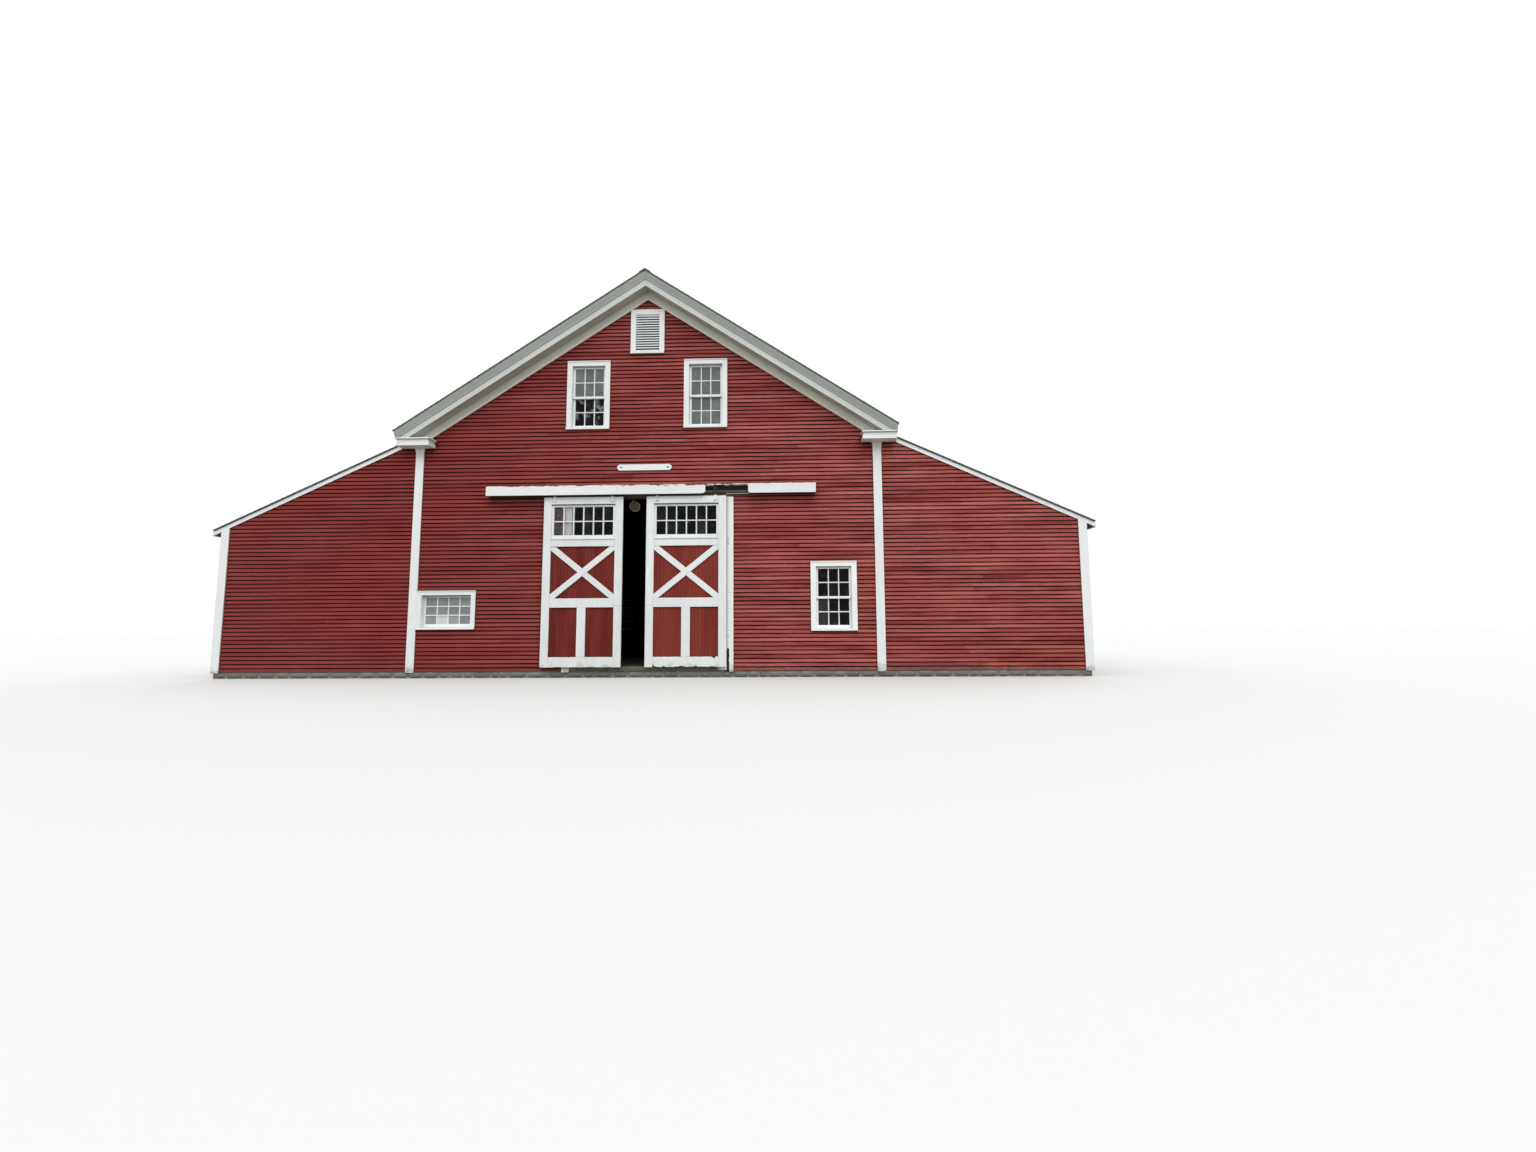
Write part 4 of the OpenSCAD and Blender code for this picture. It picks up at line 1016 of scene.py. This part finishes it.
# Doorway boards
# White side boards stand against the jambs. The right one is two strips, rotted away in a
# slit at the foot, and a brown unpainted board across the head carries the track. Painted
# shade makes that board near black outside the doorway and above the rail, and near-black
# boards stand behind the slit and the scars.
casing_thick = 0.030
casing_foot = 0.120
casing_head = 3.950
left_casing = (doorway_left, -1.620)
inner_strip = (1.620, 1.835)
outer_strip = (1.838, doorway_right)
strip_splice = 1.830
head_joint = 0.310
board_joint = 0.002
strip_step = 0.008
slit_taper, slit_ragged = 0.04, 0.4
slit_top = 0.640
strip_scars = ((2.902, 0.016, 0.022), (3.028, 0.016, 0.022), (2.965, 0.085, 0.008),
               (0.888, 0.022, 0.016), (1.014, 0.011, 0.008))
shade_wood_tones = ((0.010, 0.007, 0.006, 1), (0.022, 0.014, 0.011, 1), (0.004, 0.003, 0.003, 1))
lath_tones = ((0.74, 0.65, 0.56, 1), (0.86, 0.79, 0.70, 1), (0.10, 0.06, 0.05, 1))
shade_black = (0.008, 0.005, 0.006, 1)
# the first coat, near black, is painted shade on the head boards outside the doorway
track_board_coats = ((0.02, 0.013, 0.012, 1), (0.13, 0.085, 0.08, 1), shade_black)
rail_shade_low, rail_shade_high = 4.070, 4.095


def planks(at, first, second, near, far, tones=0.0):
    """Flat boards from pairs of edges: the lower edge from left to right with the upper one,
    or the right edge upwards with the left one, carried from the near face to the far."""
    outline = np.concatenate((first, second[:, ::-1]), 1)
    w = np.broadcast_to(np.stack(np.broadcast_arrays(near, far), -1), (len(outline), 2))
    return loft(at(outline[:, None, :, 0], w[:, :, None], outline[:, None, :, 1]), tones)


def square_boards(at, boxes, near, far, tones=0.0):
    """Flat boards whose outlines are rectangles given as left, right, low and high."""
    boxes = np.asarray(boxes, float)
    lower = np.stack((boxes[:, (0, 2)], boxes[:, (1, 2)]), 1)
    upper = np.stack((boxes[:, (0, 3)], boxes[:, (1, 3)]), 1)
    return planks(at, lower, upper, near, far, tones)


def ragged(rng, count, size, reach=3):
    """Noise along an edge: random steps smoothed by a short running mean, from 0 to size."""
    rough = np.convolve(rng.uniform(0, 1, count + reach - 1), np.ones(reach) / reach, "valid")
    low, high = rough.min(), rough.max()
    return size * ((rough - low) / (high - low)) ** 2


def notches(z, scars):
    """Depth cut from an edge: at each scar its depth times the root of the share of its half
    length that is left, and the deepest of them all."""
    middle, half, deep = np.array(scars).T[:, :, None]
    return (deep * np.sqrt(np.clip(1 - np.abs(z - middle) / half, 0, 1))).max(0)


def upright_strip(left, right, foot, head, wear, cut_left=0.0, cut_right=0.0):
    """A board standing up whose edges are worn. The cuts grow to their whole depth below the
    slit's top, and the edge cut on the left also has the scars."""
    z = np.linspace(foot, head, int((head - foot) / strip_step))
    in_slit = np.clip((slit_top - z) / slit_taper, 0, 1)
    in_slit *= 1 - ragged(slit_rng, len(z), slit_ragged, 7)
    left_edge = left + cut_left * in_slit + (notches(z, strip_scars) if cut_left else 0.0)
    right_edge = right - cut_right * in_slit - ragged(slit_rng, len(z), wear)
    return planks(front_at, np.stack((right_edge, z), 1)[None], np.stack((left_edge, z), 1)[None],
                  0.0, casing_thick, 0.1)


slit_rng = np.random.default_rng(81)
side_boards = [
    upright_strip(*inner_strip, casing_foot + 0.04, casing_head, 0.001, cut_right=0.022),
    upright_strip(*outer_strip, casing_foot, strip_splice - board_joint, 0.004, cut_left=0.036),
    upright_strip(*outer_strip, strip_splice + board_joint, casing_head, 0.002, cut_left=0.036),
    square_boards(front_at, [left_casing + (casing_foot, casing_head)], 0.0, casing_thick, 0.2),
]
# lighter paint on the doorway boards: painted light against the shade they stand in
white_doorway = white_board("white_paint_doorway", (5.0, 5.0, 0.7), 0.2, lighter_coats,
                            dirt=(corner_dirt_and_shade, 0.05, 0.5))
put_piece("doorway_side_boards", join(*side_boards), "barn", white_doorway,
          bevel=0.001, stands_for=("door_casing",))
# near-black boards behind the slit and the scars stand for shade: painted shade
shade_wood = rough_wood("painted_shade_wood", (9.0, 9.0, 2.0), 0, 0.3, shade_wood_tones)
shade_boxes = [(1.790, 1.900, casing_foot, slit_top + 0.03), (1.820, 1.880, 2.860, 3.070)]
shade_boards = square_boards(front_at, shade_boxes, -0.002, 0.004)
put_piece("painted_shade_wood", shade_boards, "barn", shade_wood)


def stain_above(low, high, stain, amount=1.0):
    """A colour that sets in between two heights and stays above them."""
    def laid_on(tree, home, colour):
        share = ramped(tree, z_of(tree, home), low, high, 0.0, amount)
        return tinted(tree, share, colour, stain)

    return laid_on


# painted shade: the wood above the rail, under the cover's top board, is painted nearly black
shade_above_rail = stain_above(rail_shade_low, rail_shade_high, shade_black, 0.93)
brown_board = painted_board("track_board_wood", (1.0, 8.0, 8.0), track_board_coats, 0.1, 0.2,
                            edges=False, stain=shade_above_rail, bump=0.6)
head_boxes = [(cover_left, doorway_left - board_joint, track_board_side, track_board_top),
              (doorway_left, head_joint, casing_head, track_board_top),
              (head_joint + board_joint, doorway_right, casing_head, track_board_top),
              (doorway_right + board_joint, cover_right, track_board_side, track_board_top)]
# the outer boards keep the near-black first coat as painted shade; the middle ones are brown
head_boards = square_boards(front_at, head_boxes, 0.0, casing_thick, (0.0, 0.9, 0.9, 0.0))
put_piece("track_board", head_boards, "barn", brown_board, bevel=0.003,
          stands_for=("door_casing",))
lath_box = (1.800, 2.320, 4.008, 4.030)
lath = square_boards(front_at, [lath_box], casing_thick, casing_thick + 0.008)
lath_wood = rough_wood("lath_wood", (1.0, 8.0, 8.0), 2, 9.0, lath_tones)
put_piece("track_lath", lath, "barn", lath_wood, bevel=0.001)


# Gable vents
# A louvred opening high in each gable: a frame of white boards cut to fit under the frieze,
# and slats let into its sides that slope down and out before the dark loft. Behind the lowest
# slats a near-black board is painted shade.
vent_clear_half, vent_clear_low, vent_clear_high = 0.269, 7.340, 8.214
vent_hole_low = 7.396
vent_corner_half, vent_corner_high = 0.359, 8.313
vent_lining = 0.020
lining_near, lining_far = 0.001, 0.180
vent_sill_out = 0.055
slat_count = 15
slat_thick, slat_long = 0.011, 0.063
slat_tilt = np.radians(48)
slat_front, slat_foot, slat_housed = 0.020, 0.004, 0.003


def long_board(at, u, low, high, near, far, tone):
    """One board that lies along a wall, with the heights of both its edges at each distance."""
    low, high = (np.stack(np.broadcast_arrays(u, edge), 1)[None] for edge in (low, high))
    return planks(at, low, high, near, far, tone)


def gable_vent(at):
    """Frame boards as outlines carried out from the wall, and slats as tilted boxes: a corner
    of a slat is its foot plus the length times the tilt's cosine inwards and sine up, plus
    the thickness times the sine outwards and the cosine up."""
    head_u = np.array((-vent_half, -vent_corner_half, vent_corner_half, vent_half))
    head_z = np.array((vent_corner_high, vent_high, vent_high, vent_corner_high))
    head = long_board(at, head_u, vent_clear_high, head_z, 0.0, casing_thick, 0.2)
    sides = [(-vent_half, -vent_clear_half, vent_clear_low, vent_clear_high),
             (vent_clear_half, vent_half, vent_clear_low, vent_clear_high)]
    sill = [(-vent_half, vent_half, vent_low, vent_clear_low)]
    lining_low, lining_high = vent_hole_low - vent_lining, vent_clear_high + vent_lining
    lining_half = vent_clear_half + vent_lining
    linings = [(-lining_half, -vent_clear_half, lining_low, lining_high),
               (vent_clear_half, lining_half, lining_low, lining_high),
               (-vent_clear_half, vent_clear_half, vent_clear_high, lining_high),
               (-vent_clear_half, vent_clear_half, lining_low, vent_hole_low)]
    pitch = (vent_clear_high - vent_clear_low) / slat_count
    foot = vent_clear_low + slat_foot + pitch * np.arange(slat_count)[:, None, None]
    along = slat_long * np.array((1, 0, 0, 1))
    across = slat_thick * np.array((1, 1, 0, 0))
    w = slat_front - along * np.cos(slat_tilt) + across * np.sin(slat_tilt)
    z = foot + along * np.sin(slat_tilt) + across * np.cos(slat_tilt)
    ends = (vent_clear_half + slat_housed) * np.array((-1, 1))
    slats = loft(at(ends[None, :, None], w, z))
    return join(head, square_boards(at, sides, 0.0, casing_thick, 0.1),
                square_boards(at, sill, 0.0, vent_sill_out, 0.3),
                square_boards(at, linings, -lining_far, -lining_near, 0.5), slats)


white_slats = white_board("white_paint_slats", (0.6, 5.0, 5.0), 0.1, edges=False,
                          dirt=(corner_dirt_and_shade, 0.01, 0.3))
put_piece("louvred_vents", join(gable_vent(front_at), gable_vent(back_at)), "barn",
          white_slats, stands_for=("gable_vents",))
# a near-black board where the wall face would show between the lowest slats: painted shade
shade_backing = [(-vent_clear_half, vent_clear_half, vent_clear_low, vent_hole_low + 0.002)]
shade_backings = join(*(square_boards(at, shade_backing, 0.0005, 0.003) for at in (front_at, back_at)))
put_piece("vent_shade_backing", shade_backings, "barn", shade_wood)


# Track cover
# A white board box that keeps rain off the rail: face boards, ends, and a top board that has
# lost most of its paint. The face's upper edge is splintered, and a length of it is gone.
cover_low, cover_high = 3.990, 4.210
cover_face = 0.195
cover_board = 0.020
cover_splice = -0.600
splinter_step, break_long = 0.03, 0.05
gap_left, gap_right = 1.357, 2.297
top_count = 240
top_ragged, top_broken = 0.030, 0.035
sliver_count = 70
sliver_near, sliver_far = 0.030, 0.018
sliver_short, sliver_long = 0.004, 0.036
worn_red = (0.13, 0.045, 0.042, 1)
worn_coats = (white, white_greyed, worn_red)


def cover_length(left, right, sag, tone, worn, rng, broken_left=0.0, broken_right=0.0):
    """One face board: its lower edge sags by a parabola, and its upper edge is splintered
    and worn down, with a few points left at the first height."""
    count = int((right - left) / splinter_step)
    u = np.linspace(left, right, count)
    share = np.linspace(-1, 1, count)
    low = cover_low + sag * (share ** 2 - 1) * 0.5
    high = cover_high - 0.001 - worn * (1 - ragged(rng, count, 1.0))
    notch = broken_left * np.clip((left + break_long - u) / break_long, 0, 1)
    notch += broken_right * np.clip((u - right + break_long) / break_long, 0, 1)
    return long_board(front_at, u, low + 0.003 + notch, high - notch * 0.2,
                      cover_face - cover_board, cover_face, tone)


cover_rng = np.random.default_rng(91)
cover_parts = [
    cover_length(cover_left, cover_splice - board_joint, 0.006, 0.1, 0.026, cover_rng),
    cover_length(cover_splice, gap_left, 0.004, 0.35, 0.038, cover_rng, broken_right=0.03),
    cover_length(gap_right, cover_right, 0.003, 0.15, 0.012, cover_rng, broken_left=0.02),
]
top_u = np.linspace(cover_left, cover_right, top_count)[:, None]
in_gap = ((top_u > gap_left) & (top_u < gap_right))[:, 0]
top_w = cover_face - 0.003 - ragged(cover_rng, top_count, top_ragged)
top_w -= top_broken * in_gap * ragged(cover_rng, top_count, 1.0)
top_low, top_high = cover_high - cover_board, cover_high - 0.002
top_out = top_w[:, None] * np.array((0, 1, 1, 0))
cover_top = loft(front_at(top_u, top_out, (top_high, top_high, top_low, top_low))[None], 0.9)
cover_ends = [(cover_left, cover_left + cover_board, cover_low, top_low),
              (cover_right - cover_board, cover_right, cover_low, top_low)]
end_boards = square_boards(front_at, cover_ends, casing_thick, cover_face - cover_board, 0.4)
sliver_u = np.linspace(gap_left, gap_right, sliver_count)
sliver_drop = sliver_short + sliver_long * ragged(cover_rng, sliver_count, 1.0) ** 3
slivers = long_board(front_at, sliver_u, top_low - sliver_drop, top_low,
                     cover_face - sliver_near, cover_face - sliver_far, 0.2)
cover_parts += [end_boards, slivers]
# the cover's downward faces are painted near black: painted shade
white_cover = white_board("white_paint_cover", (0.7, 5.0, 5.0), 0.35,
                          stain=stain_under(shade_black, 0.95))
put_piece("track_cover_boards", join(*cover_parts), "barn", white_cover,
          bevel=0.0015, stands_for=("track_cover",))
worn_cover = painted_board("worn_paint_cover_top", (0.9, 5.0, 5.0), worn_coats, 0.9)
put_piece("track_cover_top", cover_top, "barn", worn_cover,
          bevel=0.0015, stands_for=("track_cover",))


# Sliding doors
# Each leaf is upright matched boards, painted red, faced with white boards: stiles, rails, a
# mullion and crossed braces, with a twelve-light sash above and strap hangers bolted on.
door_width, door_height = 1.760, 3.730
door_foot = 0.230
door_back = 0.045
board_face = 0.030
frame_face = 0.068
brace_face = 0.060
stile = 0.172
top_rail_low, sash_rail_low, sash_rail_high = 3.570, 2.630, 2.810
mid_rail_low, mid_rail_high = 1.290, 1.490
bottom_rail_high = 0.222
mullion_half = 0.095
brace_half = 0.065
panel_face = 0.039
joint_gap = 0.0015
boards_uneven = 0.0035
bead_uneven = 0.0005
splice_height, splice_gap = 1.335, 0.003
drip_low, drip_high = 2.782, 2.806
drip_half, drip_proud = 0.710, 0.012
ledge_high, ledge_proud = 0.022, 0.016
hanger_reach, bolt_height = 0.640, 3.625
bolt_radius, bolt_proud, bolt_off = 0.010, 0.010, 0.015
bead_pitch = 0.076
rail_count, drip_count = 90, 120
sound_rail, rotten_rail, rail_top_wear = 0.010, 0.030, 0.006
sound_drip, rotten_drip = 0.005, 0.012
rot_long, rot_deep = 0.045, 0.055
chip_left, chip_right, chip_taper, chip_deep = 1.450, 1.520, 0.060, 0.050
light_opening = (1.320, 0.664, 2.858, -0.049)
stop_half = 0.662
stop_levels = ((2.856, 2.882), (3.512, 3.524))
left_door_place, right_door_place = -2.230, 0.050
door_coats = ((0.12, 0.016, 0.013, 1), (0.245, 0.044, 0.031, 1), weathered_grey)
dull_coats = ((0.82, 0.85, 0.84, 1), (0.71, 0.735, 0.725, 1), bare_pine)
rust = (0.09, 0.042, 0.025, 1)
head_steel = (0.03, 0.022, 0.018, 1)
hanger_near_black = (0.035, 0.024, 0.022, 1)
hanger_dark_low, hanger_dark_high = 3.972, 3.980


def brace_outline(low_u, high_u, low_z, high_z, half):
    """A diagonal board cut to fit into two corners of its panel: a six-sided outline whose
    long sides run at half a board's width from the line between the corners."""
    run, rise = high_u - low_u, high_z - low_z
    long = np.hypot(run, rise)
    over, beside = half * long / run, half * long / rise
    lower = ((0, 0), (beside, 0), (run, rise - over))
    upper = ((0, over), (run - beside, rise), (run, rise))
    return np.array((lower, upper))[:, None] + (low_u, low_z)


def bead_panel(at, left, right, low, high, tone, rng):
    """Matched boards: a flat face with a round bead and a groove at each board's edge,
    as a profile along the door that is carried straight up."""
    shape_u = np.array((0.0, 0.003, 0.006, 0.010, 0.014, 0.017, 0.020))
    shape_w = np.array((-0.004, -0.004, -0.001, 0.0, -0.001, -0.0035, 0.0))
    starts = np.arange(np.floor(left / bead_pitch) * bead_pitch, right, bead_pitch)
    u = (starts[:, None] + shape_u).ravel()
    w = (shape_w + rng.normal(0, bead_uneven, len(starts))[:, None]).ravel()
    inside = (u > left) & (u < right)
    u = np.concatenate(([left], u[inside], [right]))
    w = np.concatenate(([0.0], w[inside], [0.0]))
    corners_u = np.concatenate((u, u[::-1]))
    corners_w = np.concatenate((panel_face + w, np.full(len(u), board_face - 0.002)))
    z = np.array((low, high))
    return loft(at(corners_u[None, None, :], corners_w[None, None, :], z[None, :, None]), tone)


def round_heads(at, places, radius, near, proud, sides):
    """Bolt or screw heads: rings of a few corners, the last drawn in to make a low dome."""
    angle = np.linspace(0, 2 * np.pi, sides, endpoint=False)
    size = radius * np.array((1.0, 1.0, 0.6))[:, None]
    w = near + proud * np.array((0.0, 0.65, 1.0))[:, None]
    ring = size * np.stack((np.cos(angle), np.sin(angle)))[:, None, None]
    u, z = np.array(places).T[:, :, None, None] + ring
    return loft(at(u, w, z), 0.5)


def white_boards(at, rotten, rng):
    """The white boards on a leaf's face: two stiles, one of them spliced, the rails and the
    mullion, then the bottom rail, the crossed braces, the drip and the ledge over the sash."""
    mid, inner, outer = door_width / 2, stile, door_width - stile
    left, right = inner + joint_gap, outer - joint_gap
    stiles = [(0, inner), (outer, door_width)]
    spliced, whole = stiles if rotten else stiles[::-1]
    boxes = [
        whole + (0, door_height),
        spliced + (0, splice_height - splice_gap),
        spliced + (splice_height, door_height),
        (left, right, top_rail_low, door_height),
        (left, right, sash_rail_low, sash_rail_high),
        (left, right, mid_rail_low, mid_rail_high),
        (mid - mullion_half, mid + mullion_half, bottom_rail_high + joint_gap,
         mid_rail_low - joint_gap),
    ]
    fronts = frame_face - rng.uniform(0, boards_uneven, len(boxes))
    tones = rng.uniform(0, 0.5, len(boxes))
    rail_u = np.linspace(left, right, rail_count)
    worn_foot = ragged(rng, rail_count, rotten_rail if rotten else sound_rail, 4)
    worn_top = ragged(rng, rail_count, rail_top_wear)
    if rotten:
        chipped = np.clip((rail_u - chip_left) / chip_taper, 0, 1) * (rail_u < chip_right)
        worn_foot += rot_deep * np.clip(1 - (rail_u - inner) / rot_long, 0, 1)
        worn_top += chip_deep * chipped
    brace = brace_outline(inner, outer, mid_rail_high, sash_rail_low, brace_half)
    crossed = (brace * (-1, 1) + (door_width, 0))[:, :, ::-1]
    drip_u = np.linspace(mid - drip_half, mid + drip_half, drip_count)
    drip_foot = drip_low + ragged(rng, drip_count, rotten_drip if rotten else sound_drip)
    ledge = (mid - drip_half, mid + drip_half, top_rail_low, top_rail_low + ledge_high)
    return join(
        square_boards(at, boxes, board_face, fronts, tones),
        long_board(at, rail_u, worn_foot, bottom_rail_high - worn_top, board_face,
                   frame_face - 0.002, 0.35),
        planks(at, *brace, board_face, brace_face, 0.1),
        planks(at, *crossed, board_face, brace_face - 0.003, 0.3),
        long_board(at, drip_u, drip_foot, drip_high, frame_face - 0.006,
                   frame_face + drip_proud, 0.15),
        square_boards(at, [ledge], frame_face - 0.006, frame_face + ledge_proud, 0.1))


def door_leaf(side, left_edge, rotten, paint, seed):
    """All the visible pieces of one leaf, in its own frame: left to right, out, and up."""
    rng = np.random.default_rng(seed)
    body = f"{side}_door"
    at = face_map((left_edge, -wall_out - door_back, door_foot), (0, -1, 0))
    mid = door_width / 2
    put_piece(f"{body}_white_boards", white_boards(at, rotten, rng), body, paint,
              bevel=0.0025, stands_for=(f"{body}_frame",))
    strap_face = -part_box(f"{body}_hangers")[0].y - wall_out - door_back
    bolts = [(mid + way * hanger_reach + off, bolt_height)
             for way in (-1, 1) for off in (-bolt_off, bolt_off)]
    heads = round_heads(at, bolts, bolt_radius, strap_face - 0.003, bolt_proud, 6)
    put_piece(f"{body}_bolt_heads", heads, body, rusty_heads)
    half_wide = (stile, mid - mullion_half, bottom_rail_high, mid_rail_low)
    other_half = (mid + mullion_half, door_width - stile, bottom_rail_high, mid_rail_low)
    whole_wide = (stile, door_width - stile, mid_rail_high, sash_rail_low)
    panels = [bead_panel(at, left + 0.001, right - 0.001, low + 0.001, high - 0.001,
                         0.9 if rotten else 0.2, rng)
              for left, right, low, high in (half_wide, other_half, whole_wide)]
    put_piece(f"{body}_matched_boards", join(*panels), body, red_boards)
    bars = bar_grid(at, mid, 0.0, light_opening, 6, 2, depth=0.030, widen=1.15)
    stops = square_boards(at, [(mid - stop_half, mid + stop_half) + level for level in stop_levels],
                          0.019, 0.044, 0.1)
    put_piece(f"{body}_glazing_bars", join(bars, stops), body, white_bars)
    width, height, low, back = light_opening
    clear_share = 0.0 if rotten else 1 / 3
    for kind, glass, first, share in (("clear", clear_glass, 0.0, clear_share),
                                      ("dark", black_glass, clear_share, 1 - clear_share)):
        if share:
            middle = mid + width * (first + share / 2 - 0.5)
            panes = pane_grid(at, middle, 0.0, (width * share, height, low, back),
                              round(6 * share), 2, rng, 0.0, depth=0.034)
            put_piece(f"{body}_{kind}_panes", panes, body, glass,
                      stands_for=(f"{body}_glass",))


def metal_finish(name, clean, stained, metallic, amount):
    """Painted or bare metal: a clean tone with stains of rust where noise passes a level."""
    material, tree, shader, home = new_material(name)
    blotches = cloudy(tree, home, 12.0, 8.0, Roughness=0.7)
    share = ramped(tree, blotches, 0.68 - amount * 0.3, 0.74 - amount * 0.3)
    plug(tree, shader, {"Base Color": tinted(tree, share, clean, stained),
                        "Roughness": ramped(tree, share, 0, 1, 0.45, 0.85),
                        "Metallic": metallic})
    emboss(tree, shader, blotches, 0.3, 0.002)
    return material


# a hanger is painted near black above its door, and painted shade darkens the head of a sash
# under the ledge
dark_above_door = stain_above(hanger_dark_low, hanger_dark_high, hanger_near_black)
ledge_shade = door_foot + top_rail_low - 0.026
shade_under_ledge = stain_above(ledge_shade, ledge_shade + 0.004, head_shade, 0.85)
door_grain = (4.0, 4.0, 0.8)
door_dirt = (corner_dirt_and_shade, 0.05, 0.4)
rusty_heads = metal_finish("rusty_heads", head_steel, rust, 0.3, 0.5)
white_left_door = white_board("white_paint_left_door", door_grain, 0.12, dull_coats,
                              dirt=door_dirt)
white_right_door = white_board("white_paint_right_door", door_grain, 0.12, dirt=door_dirt)
white_sash = white_board("white_paint_sash", door_grain, 0.12, dirt=(corner_dirt_and_shade, 0.04, 0.45),
                         stain=shade_under_ledge)
white_hangers = white_board("white_paint_hangers", door_grain, 0.12, stain=dark_above_door)
# the red boards darken where the rails overhang them: dirt and painted shade
red_boards = painted_board("red_door_paint", (9.0, 9.0, 0.9), door_coats, 0.1, edges=False,
                           dirt=(red_dirt_and_shade, 0.05, 0.85), shine=0.06)
door_leaf("left", left_door_place, False, white_left_door, 101)
door_leaf("right", right_door_place, True, white_right_door, 102)
finish_nodes(red_boards, "left_door_boards", "right_door_boards")
finish_nodes(white_sash, "left_door_sash", "right_door_sash")
finish_nodes(white_hangers, "left_door_hangers", "right_door_hangers")


# Track rail and lamp
# A flat steel rail on stand-off blocks, rusty where the paint has gone, and a closed flood
# lamp with a green-grey face in a pale rim.
rail_steel = (0.15, 0.125, 0.118, 1)
rail_rust = (0.11, 0.08, 0.07, 1)
lamp_axis = (-0.396, 0.0, 3.889)
lamp_face_reach = 0.096
lamp_face = (0.40, 0.42, 0.26, 1)
lamp_dirt = (0.24, 0.20, 0.12, 1)
lamp_rim = (0.95, 0.95, 0.88, 1)


def lamp_finish():
    """Enamelled lamp: a green-grey face mottled by dirt and a pale rim, told apart by the
    distance from the lamp's axis."""
    material, tree, shader, home = new_material("lamp_enamel")
    seen = {0: home, 1: (1, 0, 1)}
    flat = place(tree, "ShaderNodeVectorMath", seen, operation="MULTIPLY").outputs[0]
    ends = {0: flat, 1: lamp_axis}
    reach = place(tree, "ShaderNodeVectorMath", ends, operation="DISTANCE").outputs["Value"]
    rim = ramped(tree, reach, lamp_face_reach, lamp_face_reach + 0.006)
    dirt = cloudy(tree, home, 25.0, 7.0)
    face = tinted(tree, ramped(tree, dirt, 0.45, 0.75, 0.0, 0.6), lamp_face, lamp_dirt)
    plug(tree, shader, {"Base Color": tinted(tree, rim, face, lamp_rim),
                        "Roughness": ramped(tree, dirt, 0.3, 0.7, 0.35, 0.7)})
    return material


finish_nodes(metal_finish("rusty_rail", rail_steel, rail_rust, 0.2, 0.8), "track_rail")
finish_nodes(lamp_finish(), "lamp")


# Sign board
# A bare white name board over the doorway: one planed board with its corners cut to hollow
# quarters and its edges eased, held by two dark screws.
sign_middle = (-0.030, 4.640)
sign_half = (0.610, 0.069)
sign_notch = 0.036
sign_screw_reach = 0.523
screw_radius = 0.020
sign_face = -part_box("sign_board")[0].y - wall_out


def notched_board(at):
    """Board with a hollow quarter cut from each corner: its half height is the whole one
    less a circle about the corner, from the notch's start to the board's end."""
    bend = np.linspace(0, np.pi / 2, 7)
    right = sign_half[0] - sign_notch * np.cos(bend)
    rise = sign_half[1] - sign_notch * np.sin(bend)
    along = sign_middle[0] + np.concatenate((-right[::-1], right))
    height = np.concatenate((rise[::-1], rise))
    u = np.concatenate((along, along[::-1]))
    z = sign_middle[1] + np.concatenate((-height, height[::-1]))
    w = np.array((0.0, sign_face))[:, None]
    return loft(at(u, w, z)[None], 0.0)


screw_places = [(sign_middle[0] + side * sign_screw_reach, sign_middle[1]) for side in (-1, 1)]
screws = round_heads(front_at, screw_places, screw_radius, sign_face - 0.002, 0.007, 8)
put_piece("notched_sign", notched_board(front_at), "barn", white_level,
          bevel=0.002, stands_for=("sign_board",))
put_piece("sign_screws", screws, "barn", rusty_heads)
